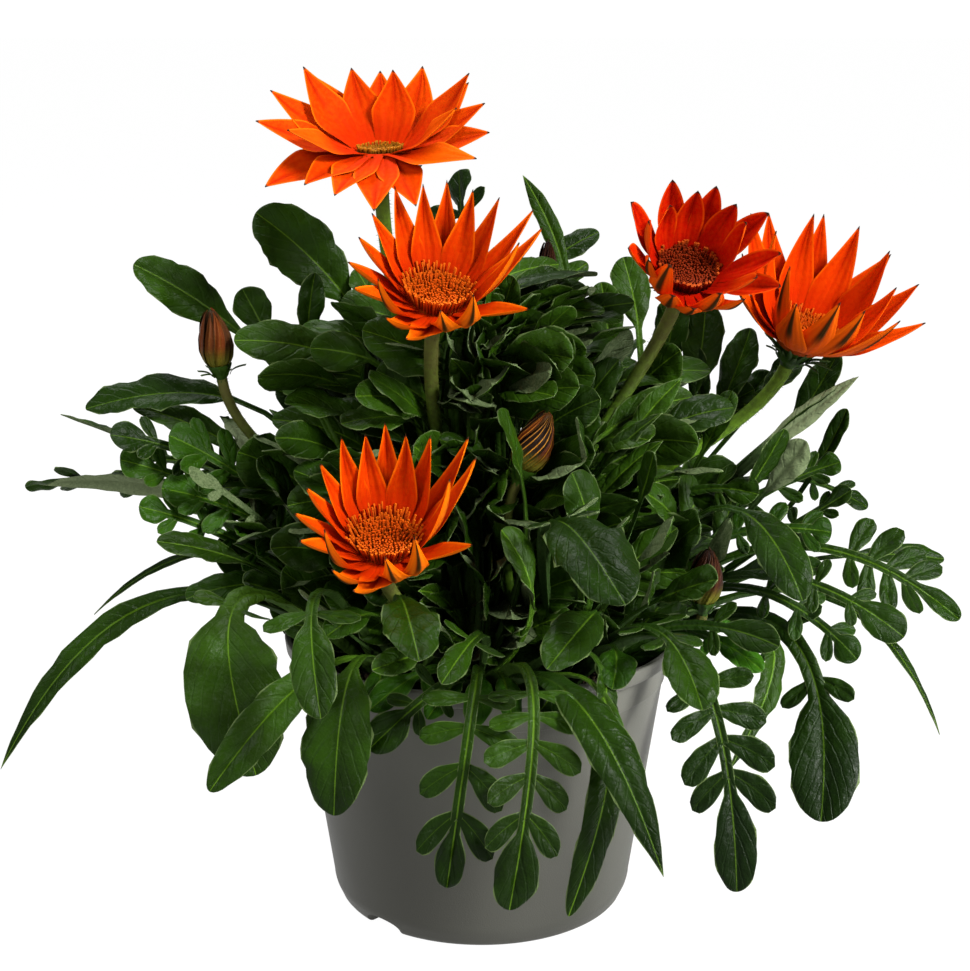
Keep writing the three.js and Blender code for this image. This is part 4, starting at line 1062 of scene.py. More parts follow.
class Tree(Nodes):
    """A Geometry Nodes tree with named inputs."""

    def __init__(self, name, **inputs):
        super().__init__(bpy.data.node_groups.new(name, "GeometryNodeTree"))
        face = self.tree.interface
        face.new_socket("Geometry", in_out="INPUT", socket_type="NodeSocketGeometry")
        face.new_socket("Geometry", in_out="OUTPUT", socket_type="NodeSocketGeometry")
        self.sockets = {}
        self.chosen = inputs
        kinds = {float: "NodeSocketFloat", int: "NodeSocketInt"}
        for key, value in inputs.items():
            kind = kinds.get(type(value), "NodeSocketMaterial")
            self.sockets[key] = face.new_socket(key, in_out="INPUT", socket_type=kind)
        self.entry = self.tree.nodes.new("NodeGroupInput")

    def given(self, name):
        """A named input of the tree."""
        return Value(self, self.entry.outputs[name])

    def stored(self, name, domain, geometry, value):
        """Stores a value on a geometry for its finish to read."""
        return self.node("GeometryNodeStoreNamedAttribute", {"data_type": "FLOAT", "domain": domain},
                         Geometry=geometry, Name=name, Value=value)

    def scattered(self, points, instance, rotation, scale=(1, 1, 1)):
        """A copy of a shape on each point."""
        return self.node("GeometryNodeInstanceOnPoints", Points=points, Instance=instance,
                         Rotation=rotation, Scale=scale)

    def grow(self, name, mesh, geometry):
        """Ends the tree with real copies in its finish, and runs it on a mesh into a plain object."""
        real = self.node("GeometryNodeRealizeInstances", Geometry=geometry)
        result = self.node("GeometryNodeSetMaterial", Geometry=real, Material=self.given("Finish"))
        self.node("NodeGroupOutput", Geometry=result)
        seedling = placed(name + "_seed", mesh)
        modifier = seedling.modifiers.new("grown", "NODES")
        modifier.node_group = self.tree
        for key, value in self.chosen.items():
            modifier[self.sockets[key].identifier] = value
        grown = applied(seedling)
        grown.name = name
        bpy.data.objects.remove(seedling)
        return placed(name, grown)


def line_mesh(name, points, radii):
    """A polyline with a radius at each point."""
    mesh = bpy.data.meshes.new(name)
    edges = [(i, i + 1) for i in range(len(points) - 1)]
    mesh.from_pydata((np.array(points) * METRES).tolist(), edges, [])
    mesh.attributes.new("thick", "FLOAT", "POINT").data.foreach_set("value", np.array(radii) * METRES)
    return mesh


def stalk_path(foot, base, axis):
    """The stalk's route: upright in its hole, then one easy curve to the head."""
    foot = np.array((foot[0], foot[1], 0.0))
    collar = foot + UP * (SOIL_LEVEL + STALK_UPRIGHT)
    reach = np.linalg.norm(base - collar) * 0.4
    knots = [collar, collar + UP * reach, base - axis * reach * 0.8, base]
    t = np.linspace(0, 1, 30)[:, None]
    shares = ((1 - t) ** 3, 3 * (1 - t) ** 2 * t, 3 * (1 - t) * t**2, t**3)
    curve = sum(share * knot for share, knot in zip(shares, knots))
    upright = [foot + UP * (SOIL_LEVEL - HOLE_DEPTH), foot + UP * SOIL_LEVEL]
    return np.concatenate([upright, curve])


def grow_stalk(head, foot, below, radius, finish, name, seed):
    """A round stalk with short soft hairs."""
    path = stalk_path(foot, head.at(0, 0, -below), head.up)
    shares = np.linspace(0, 1, len(path))
    radii = radius * (1.02 - 0.12 * np.sin(np.pi * shares))
    tree = Tree("hairy stalk", Hairs=4.5e5, Hair_Length=0.0011, Hair_Foot=0.00006, Finish=finish, Seed=seed)
    curve = tree.node("GeometryNodeMeshToCurve", Mesh=tree.given("Geometry"))
    thick = tree.node("GeometryNodeInputNamedAttribute", {"data_type": "FLOAT"}, Name="thick")
    factor = tree.node("GeometryNodeSplineParameter")
    marked = tree.stored("along", "POINT", curve, factor.outputs["Factor"])
    profile = tree.node("GeometryNodeCurvePrimitiveCircle", {"mode": "RADIUS"}, Resolution=16, Radius=1.0)
    tube = tree.node("GeometryNodeCurveToMesh", Curve=marked, Profile_Curve=profile, Fill_Caps=True,
                     Scale=thick.outputs["Attribute"])
    smoothed = tree.node("GeometryNodeSetShadeSmooth", Geometry=tube)
    spots = tree.node("GeometryNodeDistributePointsOnFaces", Mesh=tube, Density=tree.given("Hairs"),
                      Seed=tree.given("Seed"))
    hair = tree.node("GeometryNodeMeshCone", Vertices=3, Radius_Top=0.0,
                     Radius_Bottom=tree.given("Hair_Foot"), Depth=tree.given("Hair_Length"))
    hairs = tree.scattered(spots.outputs["Points"], hair.outputs["Mesh"], spots.outputs["Rotation"])
    both = tree.node("GeometryNodeJoinGeometry", Geometry=smoothed)
    tree.feed(both.inputs[0], hairs)
    dressed(tree.grow(name + "_fine", line_mesh(name, path, radii), both), "stalk", name)


def grow_disc(bloom, disc, finish, slot):
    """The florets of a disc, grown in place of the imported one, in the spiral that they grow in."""
    head = Head(bloom["centre"], bloom["axis"])
    red = disc is RED_DISC
    tree = Tree("disc florets", **disc["florets"], Dome=0.0004, Foot=0.00026, Finish=finish)
    count, height = tree.given("Count"), tree.given("Height")
    index = tree.value("GeometryNodeInputIndex")
    share = (index + 0.5) / count
    root = share.root()
    radius = root * tree.given("Radius")
    angle = index * GOLDEN_ANGLE
    place = tree.node("ShaderNodeCombineXYZ", X=radius * angle.cosine(), Y=radius * angle.sine(),
                      Z=(1.0 - share) * tree.given("Dome"))
    points = tree.node("GeometryNodePoints", Count=count)
    set_out = tree.node("GeometryNodeSetPosition", Geometry=points, Position=place)
    tube = tree.node("GeometryNodeMeshCone", Vertices=5, Side_Segments=3, Radius_Top=tree.given("Girth"),
                     Radius_Bottom=tree.given("Foot"), Depth=height)
    level = tree.value("ShaderNodeSeparateXYZ", None, "Z", Vector=tree.node("GeometryNodeInputPosition"))
    marked = tree.stored("along", "POINT", tube.outputs["Mesh"], level / height)
    draw = tree.value("FunctionNodeRandomValue", {"data_type": "FLOAT"}, 1, _2=0.0, _3=1.0,
                      Seed=len(bloom["name"]))
    lean = root * disc["lean"] + (draw - 0.5) * 0.3
    facing = tree.node("ShaderNodeCombineXYZ", X=0.0, Y=lean, Z=angle)
    chosen = share.above(0.8) * draw.above(0.6 if red else 0.1)
    tall = share * 0.5 + 0.45 + draw * 0.35 + chosen * 0.35
    stout = chosen * (0.5 if red else 0.0) + 1.0
    size = tree.node("ShaderNodeCombineXYZ", X=stout, Y=stout, Z=tall)
    florets = tree.scattered(set_out, marked, facing, size)
    tinted = tree.stored("tint", "INSTANCE", florets, chosen if red else share)
    piece = tree.grow(bloom["name"] + "_florets", bpy.data.meshes.new("florets"), tinted)
    piece.data.transform(head.matrix() @ Matrix.Translation((0, 0, disc["foot"])))
    dressed(piece, slot, bloom["name"] + "_disc")
    grow_bed(bloom, head, disc["sunk"], finish, slot)


def grow_bed(bloom, head, sunk, finish, slot):
    """The shallow cushion that a disc's florets stand on."""
    bed = Skin()
    profile = [(radius, height - sunk) for radius, height in BED_PROFILE]
    bed.add(head.rings(profile, 40), head.at(0, 0, 0.3 - sunk), along=0.0, tint=0.4)
    dressed(bed.piece(bloom["name"] + "_bed", finish), slot, bloom["name"] + "_disc")


# ---- pot and soil ----------------------------------------------------------
def closed(name, build):
    """A piece from a closed bmesh, its faces turned outwards."""
    mesh = bpy.data.meshes.new(name)
    bmesh.ops.recalc_face_normals(build, faces=build.faces)
    build.to_mesh(mesh)
    build.free()
    return placed(name, mesh)


def turned(name, profile, sides, finish):
    """A closed piece turned from (radius, height) points, its ends on the axis."""
    build = bmesh.new()
    rows = []
    for radius, height in profile:
        if radius == 0:
            rows.append([build.verts.new((0, 0, height * METRES))])
            continue
        angles = [2 * math.pi * i / sides for i in range(sides)]
        points = [(radius * math.cos(angle), radius * math.sin(angle), height) for angle in angles]
        rows.append([build.verts.new([value * METRES for value in point]) for point in points])
    for low, high in zip(rows, rows[1:]):
        for i in range(sides):
            corners = [row[k % len(row)] for row, k in ((low, i), (low, i + 1), (high, i + 1), (high, i))]
            build.faces.new(list(dict.fromkeys(corners)))
    piece = closed(name, build)
    piece.data.materials.append(finish)
    return piece


def inside_radius(height):
    """The inside radius of the tapered pot wall."""
    neck = POT_HEIGHT - POT_RIM_DEPTH
    slope = (POT_NECK_RADIUS - POT_HEEL_RADIUS) / (neck - POT_HEEL_HEIGHT)
    return POT_HEEL_RADIUS - POT_WALL + slope * (height - POT_HEEL_HEIGHT)


def eased(corner, before, after, steps=5):
    """A round corner between two neighbours of a profile point."""
    before, corner, after = (np.array(point, dtype=float) for point in (before, corner, after))
    return bowed(before, corner, after, np.linspace(0, 1, steps)[:, None]).tolist()


def pot_profile():
    """The pot from its floor round the foot and heel, up the wall and over the rim to the inside."""
    rim, neck, heel, foot = POT_RIM_RADIUS, POT_NECK_RADIUS, POT_HEEL_RADIUS, POT_FOOT_RADIUS
    under_rim = POT_HEIGHT - POT_RIM_DEPTH
    line = under_rim - POT_LINE_DROP
    mouth = rim - POT_RIM_WALL
    return [
        (0, POT_FLOOR),
        (foot - POT_FOOT_WIDTH - 1, POT_FLOOR),
        (foot - POT_FOOT_WIDTH, 0),
        (foot - 0.4, 0),
        *eased((foot + 2, 0.6), (foot, 0.1), (foot + 2.6, 2.6)),
        *eased((heel - 0.4, 5.6), (heel - 0.9, 4.6), (heel - 0.1, 7.4)),
        (heel, POT_HEEL_HEIGHT),
        (neck - 1.05, line - 0.6),
        *eased((neck - 0.45, line - 0.4), (neck - 0.95, line - 0.3), (neck - 0.4, line + 0.3)),
        (neck, under_rim - 0.3),
        *eased((rim - 0.8, under_rim - 0.1), (neck + 1.2, under_rim - 0.15), (rim - 0.55, under_rim + 0.8)),
        *eased((rim, POT_HEIGHT), (rim - 0.1, POT_HEIGHT - 0.8), (rim - 0.8, POT_HEIGHT)),
        *eased((mouth, POT_HEIGHT), (mouth + 0.6, POT_HEIGHT), (mouth - 0.2, POT_HEIGHT - 0.8)),
        (inside_radius(under_rim), under_rim),
        (inside_radius(POT_HEEL_HEIGHT), POT_HEEL_HEIGHT),
        (inside_radius(POT_HEEL_HEIGHT) - 3, POT_FLOOR + POT_WALL),
        (0, POT_FLOOR + POT_WALL),
    ]


def make_pot(finish):
    """The nursery pot: tapered wall, thin rolled rim, a ring line, a notched foot and drain holes."""
    pot = turned("pot_fine", pot_profile(), POT_TURNS, finish)
    cutters = [notch(azimuth) for azimuth in NOTCH_AZIMUTHS]
    cutters += [drain(2 * math.pi * (i + 0.5) / DRAIN_COUNT) for i in range(DRAIN_COUNT)]
    for cutter in cutters:
        cut = pot.modifiers.new("cut", "BOOLEAN")
        cut.operation = "DIFFERENCE"
        cut.object = cutter
    shape = applied(pot)
    pot.modifiers.clear()
    pot.data = shape
    for cutter in cutters:
        bpy.data.objects.remove(cutter)
    shape.shade_smooth()
    shape.set_sharp_from_angle(angle=math.radians(40))
    dressed(pot, "pot", "pot")


def notch(azimuth):
    """A cutter for one low arch in the foot."""
    half = NOTCH_WIDTH / 2
    rounds = [math.pi * i / 16 for i in range(17)]
    curve = [(-half * math.cos(angle), 1 + (NOTCH_HEIGHT - 1) * math.sin(angle) ** 0.7) for angle in rounds]
    arch = [(-half, -2), *curve, (half, -2)]
    return extruded("notch", arch, POT_FOOT_RADIUS - 8, POT_FOOT_RADIUS + 8, math.radians(azimuth))


def extruded(name, outline, near, far, turn):
    """A block with an (across, height) outline, along a direction from the axis."""
    build = bmesh.new()
    rings = []
    cos, sin = math.cos(turn), math.sin(turn)
    for out in (near, far):
        points = [Vector((out * cos - across * sin, out * sin + across * cos, up)) for across, up in outline]
        rings.append([build.verts.new(point * METRES) for point in points])
    count = len(outline)
    for i in range(count):
        following = (i + 1) % count
        build.faces.new((rings[0][i], rings[0][following], rings[1][following], rings[1][i]))
    build.faces.new(rings[0][::-1])
    build.faces.new(rings[1])
    return closed(name, build)


def drain(angle):
    """A cutter for one drain hole."""
    x, y = DRAIN_RING * math.cos(angle), DRAIN_RING * math.sin(angle)
    hole = turned("drain", [(0, 1), (DRAIN_RADIUS, 1), (DRAIN_RADIUS, 12), (0, 12)], 24, None)
    hole.data.transform(Matrix.Translation((x * METRES, y * METRES, 0)))
    return hole


def make_soil(finish, crumb_finish):
    """The compost, its top uneven, under its crumbs."""
    random = np.random.default_rng(8)
    waves = random.uniform(-0.35, 0.35, (14, 2))
    phases = random.uniform(0, 6.28, 14)
    body = [
        (0, POT_FLOOR + POT_WALL + 0.4),
        (inside_radius(12) - 4, POT_FLOOR + POT_WALL + 0.4),
        (inside_radius(14) - SOIL_CLEARANCE, 14),
        (inside_radius(SOIL_LEVEL - 2) - SOIL_CLEARANCE, SOIL_LEVEL - 2),
    ]
    rim = inside_radius(SOIL_LEVEL - 1) - 1.2
    top = [(rim * (1 - i / 26), SOIL_LEVEL - 0.6) for i in range(27)]
    soil = turned("soil_fine", body + top, 110, finish)
    for vertex in soil.data.vertices:
        x, y, z = (value / METRES for value in vertex.co)
        if z > SOIL_LEVEL - 1.5:
            bump = sum(math.sin(w[0] * x + w[1] * y + p) for w, p in zip(waves, phases)) / 4
            fade = min(1, (rim - math.hypot(x, y)) / 5)
            vertex.co.z += (0.5 * bump * max(0, fade) - 0.3) * METRES
    soil.data.shade_smooth()
    dressed(soil, "soil", "soil")
    grow_crumbs(rim * 0.97, crumb_finish)


def grow_crumbs(reach, crumb_finish):
    """The loose crumbs that lie on the compost."""
    tree = Tree("crumbs", Density=2.2e5, Size=0.0011, Finish=crumb_finish, Seed=5)
    spots = tree.node("GeometryNodeDistributePointsOnFaces", Mesh=tree.given("Geometry"),
                      Density=tree.given("Density"), Seed=tree.given("Seed"))
    crumb = tree.node("GeometryNodeMeshIcoSphere", Radius=tree.given("Size"), Subdivisions=1)
    any_vector = {"data_type": "FLOAT_VECTOR"}
    turn = tree.node("FunctionNodeRandomValue", any_vector, _0=(0, 0, 0), _1=(6.3, 6.3, 6.3))
    scale = tree.node("FunctionNodeRandomValue", any_vector, _0=(0.4, 0.3, 0.3), _1=(1.6, 1.1, 0.8))
    crumbs = tree.scattered(spots, crumb.outputs["Mesh"], turn, scale)
    bed = bpy.data.meshes.new("crumb bed")
    angles = np.linspace(0, 2 * math.pi, 60, endpoint=False)
    around = [(reach * math.cos(angle), reach * math.sin(angle), SOIL_LEVEL - 0.5) for angle in angles]
    bed.from_pydata([tuple(value * METRES for value in point) for point in around], [], [range(60)])
    dressed(tree.grow("soil_crumbs", bed, crumbs), "soil")


# ---- finishes --------------------------------------------------------------
class Finish(Nodes):
    """A material of one Principled shader."""

    def __init__(self, name, **constants):
        self.material = bpy.data.materials.new(name)
        self.material.use_nodes = True
        super().__init__(self.material.node_tree)
        self.set(**constants)

    def set(self, **inputs):
        """Feeds the shader's own sockets."""
        shader = self.tree.nodes["Principled BSDF"]
        for key, value in inputs.items():
            self.feed(shader.inputs[key.replace("_", " ")], value)

    def attributes(self, *names):
        """Values stored on the surface."""
        return [self.value("ShaderNodeAttribute", {"attribute_name": name}, "Fac") for name in names]

    def position(self):
        """Object coordinates, in metres."""
        return self.value("ShaderNodeTexCoord", None, "Object")

    def height(self):
        """Metres above the floor."""
        return self.value("ShaderNodeSeparateXYZ", None, "Z", Vector=self.position())

    def noise(self, scale, detail=3.0):
        """Noise between about 0.3 and 0.7."""
        return self.value("ShaderNodeTexNoise", Vector=self.position(), Scale=scale, Detail=detail,
                          Roughness=0.55)

    def blend(self, factor, first, second):
        """One colour over another."""
        return self.value("ShaderNodeMix", {"data_type": "RGBA"}, 2, _0=factor, _6=first, _7=second)

    def bump(self, height, distance, strength=1.0):
        """A surface normal raised by a value; distance in metres."""
        return self.value("ShaderNodeBump", Height=height, Distance=distance, Strength=strength)


def leaf_finish():
    """Satin dark green above with a pale midrib and faint veins, woolly grey-green below, and painted shade
    on the lowest leaves.
    """
    finish = Finish("leaf", Specular_IOR_Level=0.06)
    rib, edge, along, under, tint, stem, young = finish.attributes(
        "rib", "edge", "along", "under", "tint", "stem", "young"
    )
    patches = finish.noise(70.0).between(0.35, 0.68)
    fine = finish.noise(1400.0, detail=2.0)
    dark = finish.blend(tint, (0.0038, 0.0118, 0.0005), (0.0118, 0.0300, 0.0010))
    green = finish.blend(patches * (tint * 0.6 + 0.1), dark, (0.0190, 0.0560, 0.0016))
    green = finish.blend(young * 0.8, green, (0.0190, 0.0720, 0.0020))
    wander = finish.noise(90.0) * 5.0
    veins = ((along - rib * 0.8) * 1.1 + wander).sine().between(0.7, 1.0) * rib.between(0.3, 1.2)
    green = finish.blend(veins * 0.05, green, (0.040, 0.085, 0.015))
    frost = fine.between(0.48, 0.7) * tint.between(0.5, 0.95)
    green = finish.blend(frost * 0.1, green, (0.070, 0.095, 0.050))
    # Painted shade: leaves low down, near the floor, are darkened almost to black-green.
    painted_low_shade = finish.height().between(0.100, 0.055)
    green = finish.blend(painted_low_shade * 0.75, green, (0.0012, 0.0044, 0.0002))
    midrib = rib.between(0.55, 0.2) * (tint * 0.4 + 0.3)
    green = finish.blend(midrib, green, (0.085, 0.170, 0.010))
    margin = edge.between(0.3, 0.02)
    green = finish.blend(margin * 0.6, green, (0.095, 0.135, 0.045))
    petiole = finish.blend(tint * tint, (0.008, 0.024, 0.002), (0.034, 0.080, 0.005))
    green = finish.blend(stem * 0.8, green, petiole)
    wool = finish.blend(fine.between(0.3, 0.7), (0.050, 0.076, 0.028), (0.105, 0.138, 0.062))
    wool = finish.blend(young.between(-0.2, -0.9) * 0.5, wool, (0.170, 0.205, 0.110))
    wool = finish.blend(stem * 0.9, wool, petiole)
    below = under.between(0.4, 0.7) + young.between(-0.2, -0.9)
    relief = fine * 0.15 + veins * -0.25 + finish.noise(170.0) * 1.8 + finish.noise(420.0) * 0.5
    finish.set(
        Base_Color=finish.blend(below, green, wool),
        Roughness=finish.noise(120.0).between(0.3, 0.75) * 0.14 + 0.34 + below * 0.3,
        Normal=finish.bump(relief, 0.0007, 0.9),
    )
    return finish.material


def stalk_finish(name, shaded, lit_green, brown):
    """Green skin, browner towards the head, under fine pale hairs."""
    finish = Finish(name, Roughness=0.6, Specular_IOR_Level=0.1)
    along, = finish.attributes("along")
    streaks = finish.noise(500.0)
    colour = finish.blend(streaks.between(0.3, 0.7), shaded, lit_green)
    colour = finish.blend(along.between(0.62, 1.0) * brown, colour, (0.070, 0.052, 0.016))
    finish.set(Base_Color=colour, Normal=finish.bump(streaks, 0.0003, 0.6))
    return finish.material


def bract_finish():
    """Mid green bracts with paler tips."""
    finish = Finish("bract", Roughness=0.5, Specular_IOR_Level=0.1)
    along, = finish.attributes("along")
    mottle = finish.noise(300.0).between(0.3, 0.7)
    colour = finish.blend(mottle, (0.007, 0.022, 0.001), (0.018, 0.046, 0.003))
    colour = finish.blend(along.between(1.5, 4.0) * 0.5, colour, (0.050, 0.076, 0.018))
    finish.set(Base_Color=colour, Normal=finish.bump(finish.noise(900.0), 0.0003, 0.5))
    return finish.material


def ray_finish(name, inside, groove, margin, back):
    """Rays: vivid inside with lighter margins, painted shade in the groove and low in the cup, painted light
    on the front rays, striped dark behind.
    """
    finish = Finish(name, Roughness=0.6, Specular_IOR_Level=0.01)
    rib, edge, along, under, tint, front = finish.attributes(
        "rib", "edge", "along", "under", "tint", "young"
    )
    streaks = finish.noise(650.0, detail=2.0)
    colour = finish.blend(streaks.between(0.35, 0.65) * 0.15, inside, margin)
    # Painted shade: the groove down each ray's middle and the low part of the cup are darkened to the groove
    # colour.
    colour = finish.blend(rib.between(0.35, 0.0) * along.between(0.35, 0.8) * 0.8, colour, groove)
    colour = finish.blend(along.between(0.62, 0.15) * 0.75, colour, groove)
    colour = finish.blend(edge.between(0.9, 0.15) * along.between(0.25, 0.6) * 0.9, colour, margin)
    colour = finish.blend(tint * 0.3, colour, groove)
    # Painted light: rays at the head's front are lightened towards the margin colour.
    colour = finish.blend(front.between(0.6, 0.95) * along.between(0.25, 0.6) * 0.5, colour, margin)
    behind = finish.blend(edge.between(1.8, 0.5), back, margin)
    behind = finish.blend((rib * 9.0).sine().between(0.2, 1.0) * 0.25, behind, groove)
    dusky = rib.between(0.42, 0.12) * along.between(0.4, 0.66) * front.between(0.45, 0.85)
    behind = finish.blend(dusky * 0.95, behind, (0.012, 0.014, 0.004))
    colour = finish.blend(under.between(0.4, 0.6), colour, behind)
    colour = finish.blend(along.between(0.955, 0.985), colour, (0.030, 0.014, 0.008))
    finish.set(
        Base_Color=colour,
        Normal=finish.bump(streaks * 0.6 + (rib * 14.0).sine() * edge.between(0.2, 1.8) * 0.25, 0.0004, 0.7),
    )
    return finish.material


def disc_finish(name, low, high, tip):
    """Florets: darkened at their feet with painted shade, bright at their mouths."""
    finish = Finish(name, Roughness=0.6, Specular_IOR_Level=0.06)
    along, tint = finish.attributes("along", "tint")
    # Painted shade: the florets are darkened towards their feet, where they stand close together.
    colour = finish.blend(along.between(0.25, 0.95), low, high)
    colour = finish.blend(along.between(0.7, 1.0) * tint.between(0.3, 1.0), colour, tip)
    finish.set(Base_Color=colour, Normal=finish.bump(finish.noise(2500.0), 0.0002, 0.5))
    return finish.material


def bud_finish(look):
    """Furled rays in rust, maroon or maroon with golden creases, olive at the foot, with painted shade along
    their edges.
    """
    finish = Finish("bud_" + look, Roughness=0.5, Specular_IOR_Level=0.05)
    across, along, tint, edge = finish.attributes("rib", "along", "tint", "edge")
    body, bright, streak, share = {
        "rust": ((0.022, 0.012, 0.003), (0.130, 0.023, 0.003), (0.100, 0.050, 0.008), 0.4),
        "maroon": ((0.008, 0.003, 0.002), (0.028, 0.006, 0.002), (0.070, 0.034, 0.004), 0.3),
        "striped": ((0.010, 0.005, 0.003), (0.080, 0.014, 0.002), (0.420, 0.170, 0.016), 0.8),
    }[look]
    colour = finish.blend(tint.between(0.45, 0.9), body, bright)
    crease = (across * 9.0 + along * 3.0 + tint * 6.0).sine().between(0.74, 1.0)
    colour = finish.blend(crease * share, colour, streak)
    # Painted shade: each wrapped ray is darkened along its edges, where the rays lap over one another.
    colour = finish.blend(edge.between(0.22, 0.0) * 0.8, colour, (0.006, 0.004, 0.003))
    colour = finish.blend(along.between(0.42, 0.05) * 0.8, colour, (0.085, 0.088, 0.008))
    relief = finish.noise(1200.0) + (across * 7.0 + tint * 6.0).sine() * 0.8
    finish.set(Base_Color=colour, Normal=finish.bump(relief, 0.0004, 0.8))
    return finish.material


def pot_finish():
    """Matte grey moulded plastic, with painted shade towards its foot."""
    finish = Finish("pot", Specular_IOR_Level=0.15)
    cloud = finish.noise(18.0, detail=4.0)
    grain = finish.noise(2400.0, detail=2.0)
    colour = finish.blend(cloud.between(0.3, 0.7), (0.064, 0.064, 0.053), (0.070, 0.070, 0.059))
    # Painted shade: the pot darkens towards its foot.
    colour = finish.blend(finish.height().between(0.085, 0.015) * 0.7, colour, (0.036, 0.036, 0.030))
    finish.set(
        Base_Color=colour,
        Roughness=cloud.between(0.25, 0.75) * 0.1 + 0.45,
        Normal=finish.bump(grain, 0.0002, 0.35),
    )
    return finish.material


def soil_finish(name, dark, light):
    """Damp peat compost."""
    finish = Finish(name, Roughness=0.95, Specular_IOR_Level=0.2)
    fibre = finish.noise(900.0, detail=5.0)
    colour = finish.blend(fibre.between(0.35, 0.7), dark, light)
    finish.set(Base_Color=colour, Normal=finish.bump(fibre, 0.0008, 1.0))
    return finish.material


# ---- the plant -------------------------------------------------------------
def bloom_looks(painted_shade_stalk):
    """Each bloom's finish for its rays, its kind of disc, and the finishes of its florets and stalk."""
    # Painted light: this brighter copy of the stalk finish stands for stalks in the light.
    light = stalk_finish("stalk light", (0.036, 0.086, 0.003), (0.080, 0.175, 0.005), 0.35)
    orange = ray_finish("ray orange", inside=(0.50, 0.031, 0.0003), groove=(0.32, 0.009, 0.0003),
                        margin=(0.72, 0.130, 0.002), back=(0.56, 0.108, 0.004))
    red = ray_finish("ray red", inside=(0.44, 0.007, 0.0003), groove=(0.22, 0.002, 0.0003),
                     margin=(0.68, 0.075, 0.002), back=(0.54, 0.070, 0.003))
    deep = ray_finish("ray orange deep", inside=(0.54, 0.032, 0.0003), groove=(0.34, 0.009, 0.0003),
                      margin=(0.68, 0.100, 0.002), back=(0.50, 0.060, 0.002))
    orange_disc = disc_finish("disc orange", low=(0.200, 0.027, 0.001), high=(0.450, 0.062, 0.002),
                              tip=(0.540, 0.110, 0.004))
    golden_disc = disc_finish("disc golden", low=(0.090, 0.026, 0.002), high=(0.230, 0.080, 0.003),
                              tip=(0.340, 0.130, 0.005))
    red_disc = disc_finish("disc red", low=(0.030, 0.004, 0.001), high=(0.150, 0.015, 0.002),
                           tip=(0.300, 0.048, 0.004))
    return {
        "bloom_top": (orange, FLAT_DISC, golden_disc, light),
        "bloom_middle": (orange, ORANGE_DISC, orange_disc, painted_shade_stalk),
        "bloom_low": (orange, ORANGE_DISC, orange_disc, painted_shade_stalk),
        "bloom_red": (red, RED_DISC, red_disc, painted_shade_stalk),
        "bloom_far": (deep, ORANGE_DISC, orange_disc, light),
    }


def grow_plant():
    """Leaves, blooms and buds, each in its own finish."""
    grow_rosettes(leaf_finish())
    bract_skin = bract_finish()
    # Painted shade: this darker copy of the stalk finish stands for stalks in shade.
    painted_shade_stalk = stalk_finish("stalk dim", (0.018, 0.042, 0.002), (0.045, 0.098, 0.004), 0.7)
    looks = bloom_looks(painted_shade_stalk)
    for number, bloom in enumerate(BLOOMS):
        name = bloom["name"]
        rays, disc, florets, stalk = looks[name]
        colour = "red" if name == "bloom_red" else "orange"
        head = Head(bloom["centre"], bloom["axis"])
        cup = Head(head.at(0, 0, COLLAR_BASE - 0.2), bloom["axis"])
        grow_rays(bloom, rays, "ray_" + colour)
        grow_disc(bloom, disc, florets, "disc_" + colour)
        grow_involucre(cup, RECEPTACLE - 2, CUP_HEIGHT, bract_skin, name + "_stalk", BRACTS)
        grow_stalk(head, bloom["foot"], STALK_TOP, STALK_RADIUS, stalk, name + "_stalk", number)
    for number, bud in enumerate(BUDS):
        name = bud["name"]
        radius, height = bud["size"]
        head = Head(bud["centre"], bud["axis"])
        grow_bud(bud, bud_finish(bud["look"]))
        grow_involucre(head, radius * 0.72, height * 0.3, bract_skin, name + "_stalk", BUD_BRACTS)
        grow_stalk(head, bud["foot"], height * 0.26, BUD_STALK_RADIUS, painted_shade_stalk, name + "_stalk", 20 + number)


# ---- studio, in metres and watts -------------------------------------------
FLOOR_REACH = 40
HORIZON = 1.05
SKY = 0.2
CAMERA_PLACE = (0, -0.6, 0.286)
CAMERA_TILT = 13.68
SENSOR_WIDTH = 36
PICTURE_WIDTH_PX = 970
FOCAL_LENGTH_PX = 1896
MIDDLE_SHIFT_PX = 3.5


def lit(name, place, aim, size, energy, spread=180):
    """A soft square light; spread in degrees."""
    light = bpy.data.lights.new(name, "AREA")
    light.size = size
    light.energy = energy
    light.spread = math.radians(spread)
    holder = bpy.data.objects.new(name, light)
    holder.location = place
    holder.rotation_euler = (Vector(aim) - Vector(place)).to_track_quat("-Z", "Y").to_euler()
    bpy.context.scene.collection.objects.link(holder)


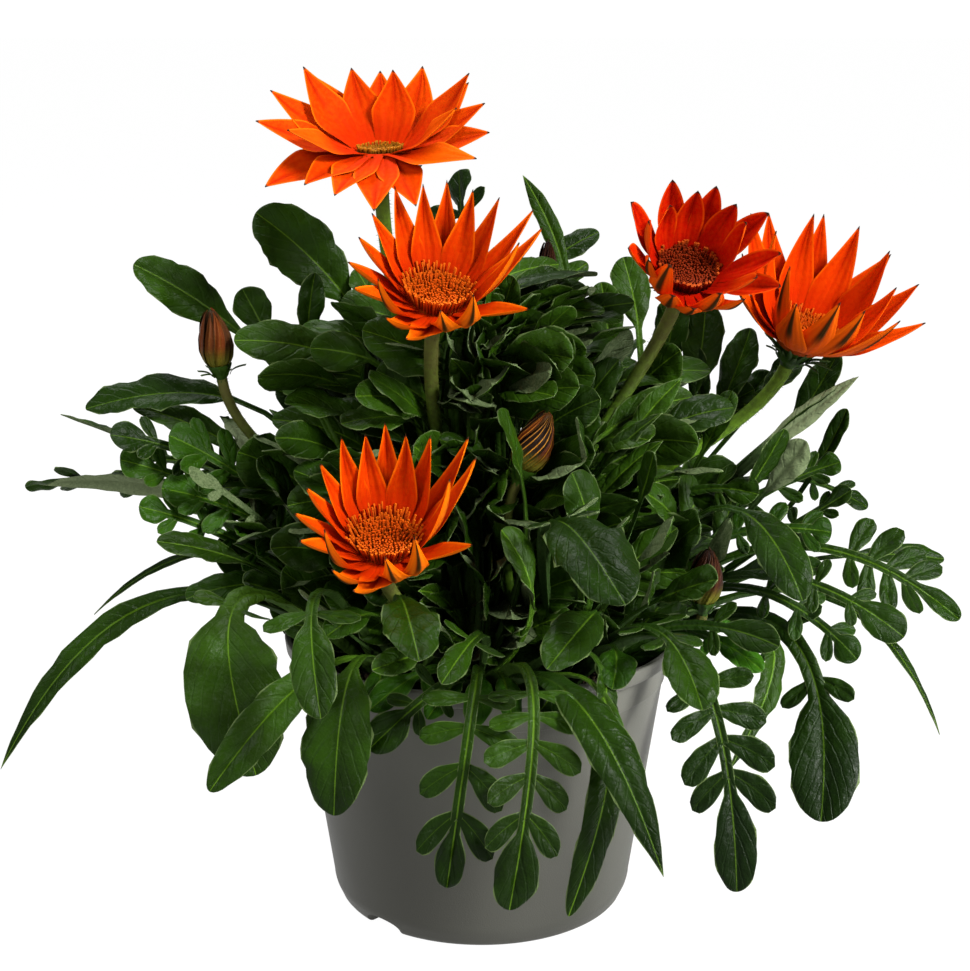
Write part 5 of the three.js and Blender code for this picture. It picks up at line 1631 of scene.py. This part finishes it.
def make_studio():
    """White floor, a white horizon under a dimmer sky, and soft lights."""
    floor_finish = Finish("floor", Roughness=0.9, Specular_IOR_Level=0.0, Emission_Strength=0.985)
    speck = floor_finish.noise(30.0)
    floor_finish.set(
        Base_Color=floor_finish.blend(speck, (0.05, 0.05, 0.05), (0.06, 0.06, 0.06)),
        Emission_Color=(1.0, 1.0, 1.0),
    )
    mesh = bpy.data.meshes.new("floor")
    corners = [(x * FLOOR_REACH, y * FLOOR_REACH, 0) for x, y in ((-1, -1), (1, -1), (1, 1), (-1, 1))]
    mesh.from_pydata(corners, [], [(0, 1, 2, 3)])
    mesh.materials.append(floor_finish.material)
    placed("floor", mesh)
    world = bpy.data.worlds.new("surroundings")
    world.use_nodes = True
    sky = Nodes(world.node_tree)
    direction = sky.value("ShaderNodeTexCoord", None, "Generated")
    climb = sky.value("ShaderNodeSeparateXYZ", None, "Z", Vector=direction)
    brightness = sky.node("ShaderNodeMapRange", Value=climb, From_Min=0.04, From_Max=0.2,
                          To_Min=HORIZON, To_Max=SKY)
    background = sky.tree.nodes["Background"]
    sky.feed(background.inputs["Strength"], brightness)
    sky.feed(background.inputs["Color"], (1, 1, 1))
    bpy.context.scene.world = world
    lit("key", (0.85, -0.75, 0.95), (0, 0, 0.14), 0.35, 38)
    lit("fill", (-0.9, -0.7, 0.9), (0, 0, 0.14), 0.5, 9)
    lit("top", (-0.1, 0.4, 1.3), (0, 0, 0.14), 0.6, 16)
    lit("pot side", (0.75, -0.42, 0.06), (0.05, 0, 0.075), 0.12, 0.19, 20)


def make_camera():
    """Looks a little down on the plant's front."""
    camera = bpy.data.cameras.new("camera")
    camera.sensor_width = SENSOR_WIDTH
    camera.lens = SENSOR_WIDTH * FOCAL_LENGTH_PX / PICTURE_WIDTH_PX
    camera.shift_x = MIDDLE_SHIFT_PX / PICTURE_WIDTH_PX
    holder = bpy.data.objects.new("camera", camera)
    holder.location = CAMERA_PLACE
    holder.rotation_euler = (math.pi / 2 - math.radians(CAMERA_TILT), 0, 0)
    bpy.context.scene.collection.objects.link(holder)
    bpy.context.scene.camera = holder


bpy.context.scene.view_settings.view_transform = "Standard"
make_camera()
make_studio()
make_pot(pot_finish())
make_soil(soil_finish("soil", (0.010, 0.007, 0.005), (0.040, 0.028, 0.018)),
          soil_finish("crumbs", (0.014, 0.009, 0.006), (0.075, 0.050, 0.030)))
grow_plant()
